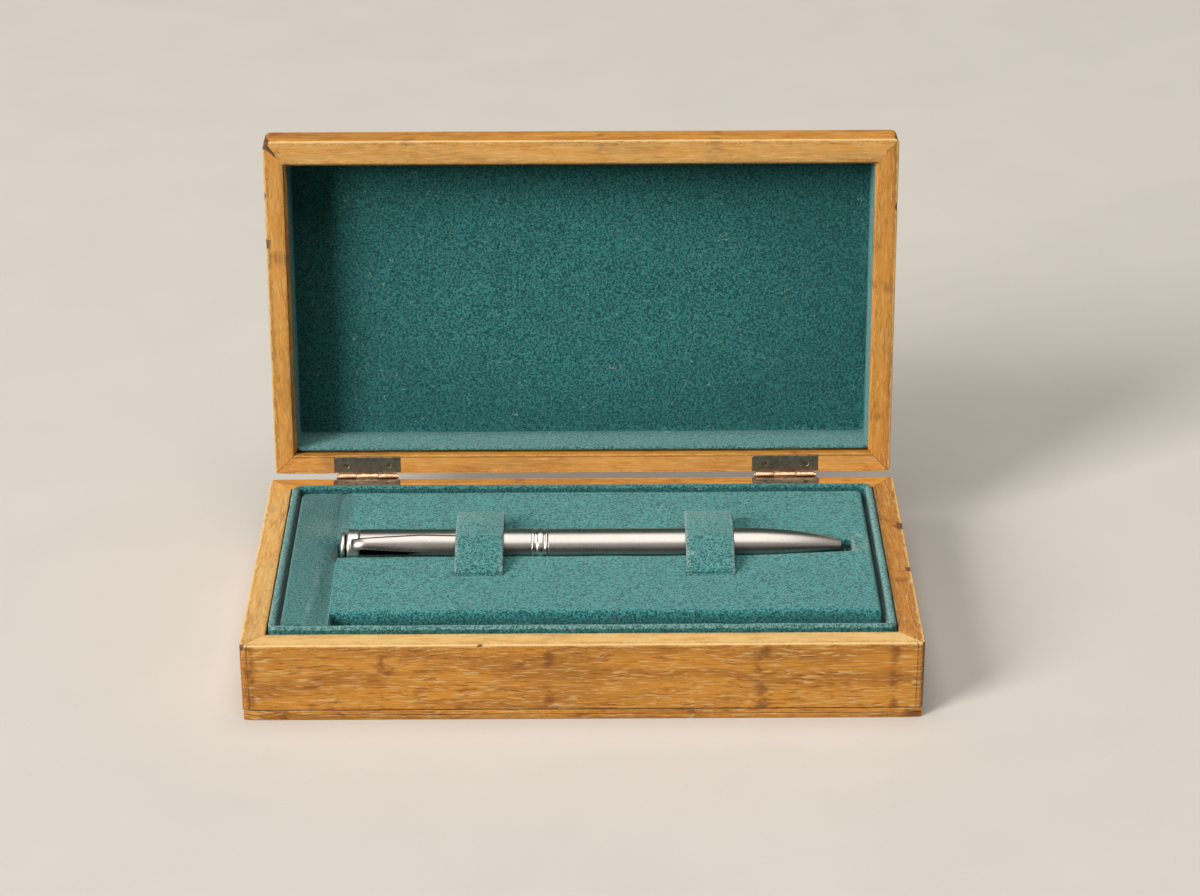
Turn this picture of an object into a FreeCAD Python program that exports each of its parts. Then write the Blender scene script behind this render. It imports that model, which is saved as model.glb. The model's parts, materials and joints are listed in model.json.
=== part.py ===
import FreeCAD, Part
import math
import os

import Sketcher
from FreeCAD import Placement, Rotation, Vector

# Wooden pen box with a lift-up lid, a flocked insert and a twist-action pen.
# Millimetres, +Z up, +X to the right, the front faces -Y.
# The origin is the centre of the underside of the base.
# The lid is drawn shut and then swung open about its hinge pins.

SIZES = {
    # base case
    "box_width": 180.0,
    "box_depth": 99.4,
    "base_height": 22.4,
    "bottom_board": 3.0,
    "wall": 6.4,
    "corner_round": 1.2,
    "board_edge_round": 0.3,
    # lid
    "lid_width": 177.9,
    "lid_shift": 0.1,
    "lid_front_inset": 0.1,
    "lid_height": 18.2,
    "lid_panel": 2.0,
    "lid_side_wall": 5.6,
    "lid_front_wall": 6.7,
    "lid_top_round": 9.5,
    "lid_gap": 0.06,
    "lid_open_angle": 95.0,
    # flocked lining of the base
    "lining_clear": 0.5,
    "rim_wall": 1.9,
    "rim_proud": 1.6,
    "rim_corner": 2.6,
    "rim_edge_round": 0.7,
    "lining_floor": 1.0,
    # flocked lining of the lid
    "lid_lining": 0.8,
    "lid_lining_setback": 1.9,
    # insert
    "insert_board": 2.0,
    "pad_left": -80.1,
    "pad_right": 79.7,
    "pad_front": -40.3,
    "pad_back": 38.4,
    "pad_top": 23.75,
    "ledge_top": 17.0,
    "shelf_top": 22.4,
    "platform_front": -33.5,
    "platform_left": -67.2,
    "pad_edge_round": 1.0,
    # the pen's groove in the insert
    "groove_left": -68.3,
    "groove_right": 74.8,
    "groove_clear": 0.35,
    "groove_end_clear": 1.2,
    "groove_tip_back": 3.0,
    "groove_tip_rise": 0.6,
    "groove_taper_run": 10.0,
    "groove_taper_drop": 0.1,
    # straps, measured from the pen's axis
    "strap_width": 13.2,
    "strap_left_at": -28.15,
    "strap_right_at": 35.05,
    "strap_thick": 0.8,
    "strap_back": 12.8,
    "strap_front": 17.2,
    "strap_crest": 5.3,
    "strap_top": 6.8,
    "strap_crown_back": 1.5,
    "strap_crown_front": 5.6,
    "strap_crown_drop": 0.1,
    "strap_foot": 1.4,
    "strap_bend": 1.6,
    "strap_crown_bend": 12.0,
    "strap_shoulder_bend": 4.0,
    "slit_clear": 0.1,
    # hinges
    "hinge_left_at": -62.1,
    "hinge_right_at": 58.7,
    "hinge_width": 19.0,
    "leaf_thick": 0.8,
    "leaf_reach": 5.1,
    "leaf_notch": 0.4,
    "fit_clear": 0.1,
    "pin_behind": 1.0,
    "knuckle_radius": 1.2,
    "knuckle_bore": 0.55,
    "knuckle_middle": 6.2,
    "knuckle_inset": 1.1,
    "knuckle_play": 0.15,
    "pin_radius": 0.5,
    "pin_head_radius": 0.8,
    "pin_head": 0.4,
    "screw_spread": 6.0,
    "screw_inset": 2.6,
    "screw_head_radius": 1.1,
    "screw_radius": 0.55,
    "screw_length": 7.0,
    "screw_head": 0.5,
    "screw_clear": 0.02,
    "pilot_extra": 0.5,
    "leaf_hole_clear": 0.06,
    # pen, measured along its own axis
    "pen_y": 4.3,
    "pen_height": 23.25,
    "pen_left": -67.0,
    "pen_right": 71.6,
    "cap_radius": 5.25,
    "barrel_radius": 5.15,
    "finial_length": 2.1,
    "finial_radius": 4.5,
    "finial_face_in": 1.4,
    "finial_face_along": 1.2,
    "finial_face_round": 1.6,
    "stem_radius": 2.0,
    "stem_length": 4.0,
    "stem_clear": 0.05,
    "stem_end_gap": 0.5,
    "collar_length": 3.5,
    "collar_lead": 0.5,
    "collar_ease": 0.1,
    "collar_swell": 0.05,
    "cap_end": -13.9,
    "split_at": -9.6,
    "split_gap": 0.1,
    "bead_radius": 5.42,
    "bead_low_radius": 4.95,
    "bead_slope": 0.15,
    "first_bead_to": 0.7,
    "second_bead_from": 1.5,
    "second_bead_to": 3.2,
    "third_bead_from": 3.8,
    "cap_bore": 4.3,
    "bore_step": 0.6,
    "taper_start": 45.0,
    "nose_bore": 24.0,
    "mouth_length": 6.0,
    "mouth_radius": 1.75,
    "mouth_bore": 1.3,
    "clip_width": 3.6,
    "clip_thick": 0.7,
    "clip_rise": 7.1,
    "clip_end": -23.0,
    "clip_turn": 52.0,
    "clip_root": 1.2,
    "clip_bury": 0.6,
    "clip_ramp": 1.6,
    "clip_sag": 0.3,
    "clip_slope": 12.0,
    "clip_touch": 3.5,
    "clip_lip": 1.2,
    "clip_tip": 0.5,
    "clip_lift": 0.25,
    "housing_start": -46.0,
    "housing_end": 3.0,
    "drive_gap": 0.3,
    "drive_clear": 0.06,
    "drive_end": 8.0,
    "drive_radius": 3.5,
    "drive_bore": 2.0,
    "refill_back": 8.0,
    "refill_radius": 1.6,
    "refill_neck_from": 14.0,
    "refill_neck_to": 12.0,
    "refill_tip_radius": 1.15,
    "refill_cone": 2.4,
    "refill_inset": 0.2,
    "ball_radius": 0.35,
}

LEAST_GROOVE_VOLUME = 1000.0
SMALLEST_CUT = 1e-3
TINY = 1e-4

doc = FreeCAD.newDocument("PenBox")
sheet = doc.addObject("Spreadsheet::Sheet", "Sizes")
pieces = []


class Size:
    """A length as a number, with the sheet expression that gives it."""

    def __init__(self, value, text):
        self.value = value
        self.text = text

    def __add__(self, other):
        return combine(self, "+", other)

    def __radd__(self, other):
        return combine(other, "+", self)

    def __sub__(self, other):
        return combine(self, "-", other)

    def __rsub__(self, other):
        return combine(other, "-", self)

    def __mul__(self, other):
        return combine(self, "*", other)

    def __rmul__(self, other):
        return combine(other, "*", self)

    def __truediv__(self, other):
        return combine(self, "/", other)

    def __neg__(self):
        return combine(0, "-", self)


def as_size(value):
    if isinstance(value, Size):
        return value
    return Size(float(value), "(%r)" % float(value))


def combine(first, sign, second):
    first, second = as_size(first), as_size(second)
    results = {
        "+": first.value + second.value,
        "-": first.value - second.value,
        "*": first.value * second.value,
    }
    value = first.value / second.value if sign == "/" else results[sign]
    return Size(value, "(%s %s %s)" % (first.text, sign, second.text))


def cosine(angle):
    return Size(math.cos(math.radians(angle.value)), "cos(%s)" % angle.text)


def sine(angle):
    return Size(math.sin(math.radians(angle.value)), "sin(%s)" % angle.text)


def fill_sheet():
    for row, (name, value) in enumerate(SIZES.items(), start=1):
        sheet.set("A%d" % row, name)
        sheet.set("B%d" % row, str(value))
        sheet.setAlias("B%d" % row, name)
    doc.recompute()


def size(name):
    return Size(SIZES[name], "Sizes." + name)


def from_sheet(name):
    return float(getattr(sheet, name))


def bind(target, path, value):
    target.setExpression(path, as_size(value).text)


def move(target, x=0, y=0, z=0):
    for axis, value in zip("xyz", (x, y, z)):
        bind(target, "Placement.Base." + axis, value)


def piece(target, node):
    target.Label = node
    pieces.append(target)
    return target


# Part primitives and booleans


def block(name, x, y, z):
    """A box between the low and high ends given for each axis."""
    box = doc.addObject("Part::Box", name)
    bind(box, "Length", x[1] - x[0])
    bind(box, "Width", y[1] - y[0])
    bind(box, "Height", z[1] - z[0])
    move(box, x[0], y[0], z[0])
    return box


def rod(name, radius, length, at, axis):
    """A cylinder from a point along +X or +Z."""
    cylinder = doc.addObject("Part::Cylinder", name)
    bind(cylinder, "Radius", radius)
    bind(cylinder, "Height", length)
    if axis == "x":
        cylinder.Placement = Placement(Vector(), Rotation(Vector(0, 1, 0), 90))
    move(cylinder, *at)
    return cylinder


def cone(name, low_radius, high_radius, height, at):
    solid = doc.addObject("Part::Cone", name)
    bind(solid, "Radius1", low_radius)
    bind(solid, "Radius2", high_radius)
    bind(solid, "Height", height)
    move(solid, *at)
    return solid


def cut(name, base, tool):
    result = doc.addObject("Part::Cut", name)
    result.Base = base
    result.Tool = tool
    return result


def common(name, base, tool):
    result = doc.addObject("Part::Common", name)
    result.Base = base
    result.Tool = tool
    return result


def fuse(name, shapes):
    result = doc.addObject("Part::MultiFuse", name)
    result.Shapes = shapes
    return result


def group(name, solids):
    result = doc.addObject("Part::Compound", name)
    result.Links = solids
    return result


def mitre(name, side, x, y, z, across):
    """The wedge that one mitred board of a frame fills; across is the boards' thickness in X and Y."""
    along_x, along_y = across
    long_x = (x[0], x[1])
    short_x = (x[0] + along_x, x[1] - along_x)
    long_y = (y[0], y[1])
    short_y = (y[0] + along_y, y[1] - along_y)
    spans = {
        "front": (y[0], y[0] + along_y, long_x, short_x),
        "back": (y[1] - along_y, y[1], short_x, long_x),
        "left": (-(x[0] + along_x), -x[0], short_y, long_y),
        "right": (-x[1], -(x[1] - along_x), long_y, short_y),
    }
    low, high, first, second = spans[side]
    wedge = doc.addObject("Part::Wedge", name)
    bind(wedge, "Ymin", low)
    bind(wedge, "Ymax", high)
    bind(wedge, "Xmin", first[0])
    bind(wedge, "Xmax", first[1])
    bind(wedge, "X2min", second[0])
    bind(wedge, "X2max", second[1])
    for end, value in (("Zmin", z[0]), ("Z2min", z[0]), ("Zmax", z[1]), ("Z2max", z[1])):
        bind(wedge, end, value)
    if side in ("left", "right"):
        wedge.Placement = Placement(Vector(), Rotation(Vector(0, 0, 1), 90))
    return wedge


# PartDesign bodies


def new_body(name):
    return doc.addObject("PartDesign::Body", name)


def sketch_on(body, name, role, offset=0):
    plane = next(f for f in body.Origin.OriginFeatures if f.Role == role)
    sketch = body.newObject("Sketcher::SketchObject", name)
    sketch.AttachmentSupport = [(plane, "")]
    sketch.MapMode = "FlatFace"
    bind(sketch, "AttachmentOffset.Base.z", offset)
    return sketch


def arc_through(start, end, radius):
    """A counter-clockwise arc of the signed radius; a positive one bulges left of start to end."""
    chord = end - start
    half = chord.Length / 2
    reach = abs(radius)
    drop = math.sqrt(max(reach * reach - half * half, 0.0))
    left = Vector(-chord.y, chord.x, 0).normalize()
    centre = (start + end) * 0.5 - left * (drop if radius > 0 else -drop)
    first, last = (end, start) if radius > 0 else (start, end)
    begin = math.atan2(first.y - centre.y, first.x - centre.x)
    finish = math.atan2(last.y - centre.y, last.x - centre.x)
    circle = Part.Circle(centre, Vector(0, 0, 1), reach)
    return Part.ArcOfCircle(circle, begin, finish if finish > begin else finish + 2 * math.pi)


def hold(sketch, geometry, position, point, number):
    """Ties a sketch point to the sheet by its distances from the sketch's origin."""
    for axis, kind, value, line in (("x", "DistanceX", point[0], -2), ("y", "DistanceY", point[1], -1)):
        value = as_size(value)
        if abs(value.value) < TINY:
            sketch.addConstraint(Sketcher.Constraint("PointOnObject", geometry, position, line))
            continue
        index = sketch.addConstraint(Sketcher.Constraint(kind, -1, 1, geometry, position, value.value))
        name = "%s%d" % (axis, number)
        sketch.renameConstraint(index, name)
        sketch.setExpression("Constraints." + name, value.text)


def outline(sketch, points):
    """A closed outline; a point's third value is the signed radius of the arc that leaves it."""
    corners = [Vector(as_size(p[0]).value, as_size(p[1]).value, 0) for p in points]
    ends = []
    first = sketch.GeometryCount
    for number, point in enumerate(points):
        start, end = corners[number], corners[(number + 1) % len(points)]
        if len(point) == 2:
            index = sketch.addGeometry(Part.LineSegment(start, end), False)
            ends.append((index, 1, 2))
            continue
        radius = as_size(point[2])
        index = sketch.addGeometry(arc_through(start, end, radius.value), False)
        forward = (sketch.Geometry[index].StartPoint - start).Length < TINY
        ends.append((index, 1, 2) if forward else (index, 2, 1))
    for number, point in enumerate(points):
        index, begin, finish = ends[number]
        following = ends[(number + 1) % len(points)]
        join = Sketcher.Constraint("Coincident", index, finish, following[0], following[1])
        sketch.addConstraint(join)
        hold(sketch, index, begin, point, number + first)
        if len(point) == 3:
            radius = as_size(point[2])
            span = radius if radius.value > 0 else -radius
            place = sketch.addConstraint(Sketcher.Constraint("Radius", index, span.value))
            name = "radius%d" % (number + first)
            sketch.renameConstraint(place, name)
            sketch.setExpression("Constraints." + name, span.text)


def rectangle(sketch, x, y):
    outline(sketch, [(x[0], y[0]), (x[1], y[0]), (x[1], y[1]), (x[0], y[1])])


def add_pad(body, sketch, length):
    feature = body.newObject("PartDesign::Pad", sketch.Name + "Pad")
    feature.Profile = sketch
    bind(feature, "Length", length)
    doc.recompute()
    return feature


def add_pocket(body, sketch, reversed_way=False):
    """Cuts a sketch through the whole body, and raises if nothing is removed."""
    before = body.Shape.Volume
    feature = body.newObject("PartDesign::Pocket", sketch.Name + "Pocket")
    feature.Profile = sketch
    feature.Type = "ThroughAll"
    feature.Reversed = reversed_way
    doc.recompute()
    if body.Shape.Volume > before - SMALLEST_CUT:
        raise RuntimeError(sketch.Name + " cuts nothing")
    return feature


def add_turned(body, sketch, kind="PartDesign::Revolution"):
    feature = body.newObject(kind, sketch.Name + "Turned")
    feature.Profile = sketch
    feature.ReferenceAxis = (sketch, ["H_Axis"])
    feature.Angle = 360
    doc.recompute()
    return feature


def add_fillet(body, radius, wanted):
    """Rounds the edges for which wanted(edge) is true."""
    tip = body.Tip
    names = ["Edge%d" % (n + 1) for n, edge in enumerate(tip.Shape.Edges) if wanted(edge)]
    feature = body.newObject("PartDesign::Fillet", body.Name + "Round")
    feature.Base = (tip, names)
    bind(feature, "Radius", radius)
    doc.recompute()
    return feature


def runs_along(edge, axis):
    box = edge.BoundBox
    spans = {"x": box.XLength, "y": box.YLength, "z": box.ZLength}
    return all(span < TINY for name, span in spans.items() if name != axis)


def turned(name, points):
    """A body of revolution about +X; each point is a place along the axis and a radius."""
    body = new_body(name)
    sketch = sketch_on(body, name + "Profile", "XZ_Plane")
    outline(sketch, points)
    add_turned(body, sketch)
    return body


def rounded_block(name, x, y, z, radius, axis, wanted=lambda edge: True):
    """A block whose edges along one axis are rounded, where wanted(edge) is true."""
    body = new_body(name)
    sketch = sketch_on(body, name + "Plan", "XY_Plane", z[0])
    rectangle(sketch, x, y)
    add_pad(body, sketch, z[1] - z[0])
    add_fillet(body, radius, lambda edge: runs_along(edge, axis) and wanted(edge))
    return body


# Places that several pieces share

fill_sheet()

half_width = size("box_width") / 2
half_depth = size("box_depth") / 2
top = size("base_height")
board = size("bottom_board")
wall = size("wall")
case_x = (-half_width, half_width)
case_y = (-half_depth, half_depth)

lid_low = top + size("lid_gap")
lid_high = lid_low + size("lid_height")
lid_under_panel = lid_high - size("lid_panel")
lid_x = (size("lid_shift") - size("lid_width") / 2, size("lid_shift") + size("lid_width") / 2)
lid_y = (case_y[0] + size("lid_front_inset"), case_y[1])
lid_inner_x = (lid_x[0] + size("lid_side_wall"), lid_x[1] - size("lid_side_wall"))
lid_inner_y = (lid_y[0] + size("lid_front_wall"), lid_y[1] - wall)

hinge_y = half_depth + size("pin_behind")
hinge_z = top + size("lid_gap") / 2
hinge_centres = {"left": size("hinge_left_at"), "right": size("hinge_right_at")}
knuckle_reach = size("hinge_width") / 2 - size("knuckle_inset")

pen_z = size("pen_height")
insert_low = board + size("lining_floor")
pad_low = insert_low + size("insert_board")


def swing_open(target):
    """Turns a piece of the shut lid about the hinge pins to its open rest place."""
    angle = size("lid_open_angle")
    target.Placement = Placement(Vector(), Rotation(Vector(-1, 0, 0), angle.value))
    bind(target, "Placement.Rotation.Angle", angle)
    y_turned = hinge_y * cosine(angle) + hinge_z * sine(angle)
    z_turned = hinge_z * cosine(angle) - hinge_y * sine(angle)
    move(target, 0, hinge_y - y_turned, hinge_z - z_turned)
    return target


# Base case


def screw_tools(prefix, facing):
    """Pilot holes for the hinge screws, under the base leaves or above the lid leaves."""
    tools = []
    depth = size("screw_length") + size("pilot_extra")
    for side, centre in hinge_centres.items():
        for number, shift in enumerate((-1, 1)):
            x = centre + shift * size("screw_spread")
            y = half_depth - size("screw_inset")
            z = top - depth if facing == "up" else lid_low
            name = "%sPilot%s%d" % (prefix, side, number)
            tools.append(rod(name, size("screw_radius") + size("screw_clear"), depth, (x, y, z), "z"))
    return tools


def mortises(prefix, z):
    reach = size("leaf_reach") + size("fit_clear")
    half = size("hinge_width") / 2 + size("fit_clear")
    return [
        block(prefix + "Mortise" + side, (x - half, x + half), (half_depth - reach, half_depth), z)
        for side, x in hinge_centres.items()
    ]


def make_base_case():
    form = rounded_block("CaseForm", case_x, case_y, (board, top), size("corner_round"), "z")
    for side in ("front", "back", "left", "right"):
        wedge = mitre("Case" + side, side, case_x, case_y, (board, top), (wall, wall))
        name = "base_%s_wall" % side
        if side != "back":
            piece(common(name, form, wedge), name)
            continue
        blank = common("BaseBackBlank", form, wedge)
        tools = mortises("Base", (top - size("leaf_thick"), top)) + screw_tools("Base", "up")
        piece(cut(name, blank, fuse("BaseBackTools", tools)), name)

    plate = new_body("base_bottom_board")
    plan = sketch_on(plate, "BottomPlan", "XY_Plane")
    rectangle(plan, case_x, case_y)
    add_pad(plate, plan, board)
    add_fillet(plate, size("corner_round"), lambda edge: runs_along(edge, "z"))
    add_fillet(plate, size("board_edge_round"), lambda edge: edge.BoundBox.ZMax < TINY)
    piece(plate, "base_bottom_board")


# Flocked lining of the base, with its proud rim


def make_base_lining():
    clear = wall + size("lining_clear")
    x = (case_x[0] + clear, case_x[1] - clear)
    y = (case_y[0] + clear, case_y[1] - clear)
    rim = size("rim_wall")
    high = top + size("rim_proud")

    ring = new_body("LiningForm")
    outer = sketch_on(ring, "LiningOuter", "XY_Plane", board)
    rectangle(outer, x, y)
    add_pad(ring, outer, high - board)
    inner = sketch_on(ring, "LiningInner", "XY_Plane", board)
    rectangle(inner, (x[0] + rim, x[1] - rim), (y[0] + rim, y[1] - rim))
    add_pocket(ring, inner, reversed_way=True)

    def outer_corner(edge):
        return runs_along(edge, "z") and abs(edge.CenterOfMass.x) > (x[1] - rim / 2).value

    def inner_corner(edge):
        return runs_along(edge, "z") and abs(edge.CenterOfMass.x) < (x[1] - rim / 2).value

    add_fillet(ring, size("rim_corner"), outer_corner)
    add_fillet(ring, size("rim_corner") / 2, inner_corner)
    add_fillet(ring, size("rim_edge_round"), lambda edge: edge.BoundBox.ZMin > high.value - TINY)

    cover = rim + size("rim_corner")
    for side in ("front", "back", "left", "right"):
        wedge = mitre("Lining" + side, side, x, y, (board, high), (cover, cover))
        name = "base_lining_" + side
        piece(common(name, ring, wedge), name)

    inside = rim + size("fit_clear")
    floor_x = (x[0] + inside, x[1] - inside)
    floor_y = (y[0] + inside, y[1] - inside)
    floor = rounded_block(
        "base_lining_floor", floor_x, floor_y, (board, insert_low), size("rim_corner") / 2, "z"
    )
    piece(floor, "base_lining_floor")


# Insert: a board, a foam pad with a ledge, a shelf and the pen's groove, and two straps


def groove_profile():
    clear = size("groove_clear")
    wide = size("cap_radius") + clear
    narrow = size("barrel_radius") - size("groove_taper_drop")
    end = size("mouth_radius") + size("groove_end_clear")
    return [
        (size("groove_left"), 0),
        (size("groove_right"), 0),
        (size("groove_right"), end),
        (size("pen_right") - size("groove_tip_back"), end + size("groove_tip_rise")),
        (size("taper_start") + size("groove_taper_run"), narrow),
        (size("taper_start"), wide),
        (size("groove_left"), wide),
    ]


def strap_slit_spans():
    """The front and back slits of a strap, across Y."""
    thick, clear = size("strap_thick"), size("slit_clear")
    axis = size("pen_y")
    back = axis + size("strap_back")
    front = axis - size("strap_front")
    return [(back - thick - clear, back + clear), (front - clear, front + thick + clear)]


def make_insert():
    x = (size("pad_left"), size("pad_right"))
    y = (size("pad_front"), size("pad_back"))
    piece(block("insert_board", x, y, (insert_low, pad_low)), "insert_board")

    body = new_body("insert_pad")
    ledge = sketch_on(body, "PadLedge", "XY_Plane", pad_low)
    rectangle(ledge, x, y)
    add_pad(body, ledge, size("ledge_top") - pad_low)
    shelf = sketch_on(body, "PadShelf", "XY_Plane", size("ledge_top"))
    left, front = size("platform_left"), size("platform_front")
    corners = [(x[0], y[0]), (left, y[0]), (left, front), (x[1], front), (x[1], y[1]), (x[0], y[1])]
    outline(shelf, corners)
    add_pad(body, shelf, size("shelf_top") - size("ledge_top"))
    platform = sketch_on(body, "PadPlatform", "XY_Plane", size("shelf_top"))
    rectangle(platform, (left, x[1]), (front, y[1]))
    add_pad(body, platform, size("pad_top") - size("shelf_top"))
    crest = size("pad_top").value - TINY
    add_fillet(body, size("pad_edge_round"), lambda edge: edge.BoundBox.ZMin > crest)

    groove = sketch_on(body, "PadGroove", "XZ_Plane", -size("pen_y"))
    bind(groove, "AttachmentOffset.Base.y", pen_z)
    outline(groove, groove_profile())
    before = body.Shape.Volume
    add_turned(body, groove, "PartDesign::Groove")
    if body.Shape.Volume > before - LEAST_GROOVE_VOLUME:
        raise RuntimeError("the pen groove cuts too little")

    half = size("strap_width") / 2 + size("slit_clear")
    for side in ("left", "right"):
        centre = size("strap_%s_at" % side)
        for number, span in enumerate(strap_slit_spans()):
            slit = sketch_on(body, "Slit%s%d" % (side, number), "XY_Plane", pad_low)
            rectangle(slit, (centre - half, centre + half), span)
            add_pocket(body, slit, reversed_way=True)
    piece(body, "insert_pad")


def strap_shape():
    """A bent band: up out of its back slit, over the pen, and down a slope to its front slit."""
    middle = from_sheet("strap_thick") / 2
    back = from_sheet("strap_back") - middle
    front = middle - from_sheet("strap_front")
    over = from_sheet("strap_top") - middle
    under = sum(from_sheet(name) for name in ("bottom_board", "lining_floor", "insert_board"))
    low = under - from_sheet("pen_height")
    corners = [
        Vector(0, back, low),
        Vector(0, back, from_sheet("strap_crest") - middle),
        Vector(0, from_sheet("strap_crown_back"), over),
        Vector(0, -from_sheet("strap_crown_front"), over - from_sheet("strap_crown_drop")),
        Vector(0, front, from_sheet("strap_foot")),
        Vector(0, front, low),
    ]
    bend = from_sheet("strap_bend")
    radii = [bend, from_sheet("strap_crown_bend"), from_sheet("strap_shoulder_bend"), bend]
    edges = []
    start = corners[0]
    for number, radius in enumerate(radii, start=1):
        corner = corners[number]
        back_way = (corners[number - 1] - corner).normalize()
        on_way = (corners[number + 1] - corner).normalize()
        turn = back_way.getAngle(on_way)
        reach = radius / math.tan(turn / 2)
        enter, leave = corner + back_way * reach, corner + on_way * reach
        inward = (back_way + on_way).normalize()
        centre = corner + inward * (radius / math.sin(turn / 2))
        middle_point = centre - inward * radius
        edges.append(Part.LineSegment(start, enter).toShape())
        edges.append(Part.Arc(enter, middle_point, leave).toShape())
        start = leave
    edges.append(Part.LineSegment(start, corners[-1]).toShape())
    half = from_sheet("strap_width") / 2
    ways = ((-1, -1), (1, -1), (1, 1), (-1, 1), (-1, -1))
    section = Part.makePolygon([Vector(half * x, back + middle * y, low) for x, y in ways])
    return Part.Wire(edges).makePipeShell([section], True, True)


def make_straps():
    for side in ("left", "right"):
        name = "strap_" + side
        strap = doc.addObject("Part::Feature", name)
        strap.Shape = strap_shape()
        move(strap, size("strap_%s_at" % side), size("pen_y"), pen_z)
        piece(strap, name)


# Lid and its lining


def make_lid():
    z = (lid_low, lid_high)
    edge_round = size("lid_top_round")
    upper = (lid_low + lid_high).value / 2
    corners = rounded_block("LidPlan", lid_x, lid_y, z, size("corner_round"), "z")
    across = rounded_block(
        "LidAcross", lid_x, lid_y, z, edge_round, "x", lambda edge: edge.CenterOfMass.z > upper
    )
    along = rounded_block(
        "LidAlong", lid_x, lid_y, z, edge_round, "y", lambda edge: edge.CenterOfMass.z > upper
    )
    form = common("LidForm", common("LidRound", across, along), corners)
    walls_z = (lid_low, lid_under_panel)
    thickness = {
        "front": (size("lid_side_wall"), size("lid_front_wall")),
        "back": (size("lid_side_wall"), wall),
    }
    for side in ("front", "back"):
        wedge = mitre("LidWall" + side, side, lid_x, lid_y, walls_z, thickness[side])
        name = "lid_%s_wall" % side
        if side == "front":
            piece(swing_open(common(name, form, wedge)), name)
            continue
        blank = common("LidBackBlank", form, wedge)
        tools = mortises("Lid", (lid_low, lid_low + size("leaf_thick"))) + screw_tools("Lid", "down")
        piece(swing_open(cut(name, blank, fuse("LidBackTools", tools))), name)

    ends = fuse("LidEnds", [doc.LidWallfront, doc.LidWallback])
    hollow = block("LidHollow", lid_inner_x, lid_inner_y, walls_z)
    sides = cut("LidSides", cut("LidFrame", form, hollow), ends)
    middle = size("lid_shift")
    far = size("box_width")
    for side, span in (("left", (middle - far, middle)), ("right", (middle, middle + far))):
        part = block("LidHalf" + side, span, lid_y, walls_z)
        name = "lid_%s_wall" % side
        piece(swing_open(common(name, sides, part)), name)

    slab = block("LidSlab", lid_x, lid_y, (lid_under_panel, lid_high))
    piece(swing_open(common("lid_top_panel", form, slab)), "lid_top_panel")


def make_lid_lining():
    thick = size("lid_lining")
    panel_z = (lid_under_panel - thick, lid_under_panel)
    strip_z = (lid_low + size("lid_lining_setback"), panel_z[0])
    inside = block("LidInside", lid_inner_x, lid_inner_y, (lid_low, lid_high))
    forms = {"panel": block("LidLiningSheet", lid_inner_x, lid_inner_y, panel_z)}
    for side in ("front", "back", "left", "right"):
        forms[side] = mitre(
            "LidStrip" + side, side, lid_inner_x, lid_inner_y, strip_z, (thick, thick)
        )
    for part, form in forms.items():
        name = "lid_lining_" + part
        piece(swing_open(common(name, inside, form)), name)


# Hinges, each a base leaf, a lid leaf and a pin, with countersunk screws


def knuckle_spans(centre, leaf):
    """The X spans of a leaf's knuckles: the middle one is the lid's, the outer two are the base's."""
    mid = size("knuckle_middle") / 2
    outer = mid + size("knuckle_play")
    if leaf == "lid":
        return [(centre - mid, centre + mid)]
    return [(centre - knuckle_reach, centre - outer), (centre + outer, centre + knuckle_reach)]


def make_leaf(leaf, side, centre):
    name = "hinge_%s_%s_leaf" % (side, leaf)
    half = size("hinge_width") / 2
    thick = size("leaf_thick")
    z = (top - thick, top) if leaf == "base" else (lid_low, lid_low + thick)
    plate_end = half_depth - size("leaf_notch")
    plate_y = (half_depth - size("leaf_reach"), plate_end)
    solids = [block(name + "Plate", (centre - half, centre + half), plate_y, z)]
    bores = []
    for number, span in enumerate(knuckle_spans(centre, leaf)):
        tag = "%s%d" % (name, number)
        width = span[1] - span[0]
        at = (span[0], hinge_y, hinge_z)
        solids.append(block(tag + "Neck", span, (plate_end, hinge_y), z))
        solids.append(rod(tag + "Knuckle", size("knuckle_radius"), width, at, "x"))
        bores.append(rod(tag + "Bore", size("knuckle_bore"), width, at, "x"))
    clear = size("leaf_hole_clear")
    wide, narrow = size("screw_head_radius") + clear, size("screw_radius") + clear
    for number, shift in enumerate((-1, 1)):
        tag = "%sScrew%d" % (name, number)
        x = centre + shift * size("screw_spread")
        y = half_depth - size("screw_inset")
        head = size("screw_head")
        if leaf == "base":
            bores.append(cone(tag + "Sink", narrow, wide, head, (x, y, top - head)))
        else:
            bores.append(cone(tag + "Sink", wide, narrow, head, (x, y, lid_low)))
        bores.append(rod(tag + "Way", narrow, thick, (x, y, z[0]), "z"))
    leaf_piece = cut(name, fuse(name + "Solids", solids), fuse(name + "Bores", bores))
    if leaf == "lid":
        swing_open(leaf_piece)
    piece(leaf_piece, name)


def make_pin(side, centre):
    name = "hinge_%s_pin" % side
    head = size("pin_head")
    half = knuckle_reach + size("fit_clear")
    low, high = centre - half, centre + half
    shaft = rod(name + "Shaft", size("pin_radius"), high - low, (low, hinge_y, hinge_z), "x")
    heads = [
        rod(name + "HeadLow", size("pin_head_radius"), head, (low - head, hinge_y, hinge_z), "x"),
        rod(name + "HeadHigh", size("pin_head_radius"), head, (high, hinge_y, hinge_z), "x"),
    ]
    piece(fuse(name, [shaft] + heads), name)


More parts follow.
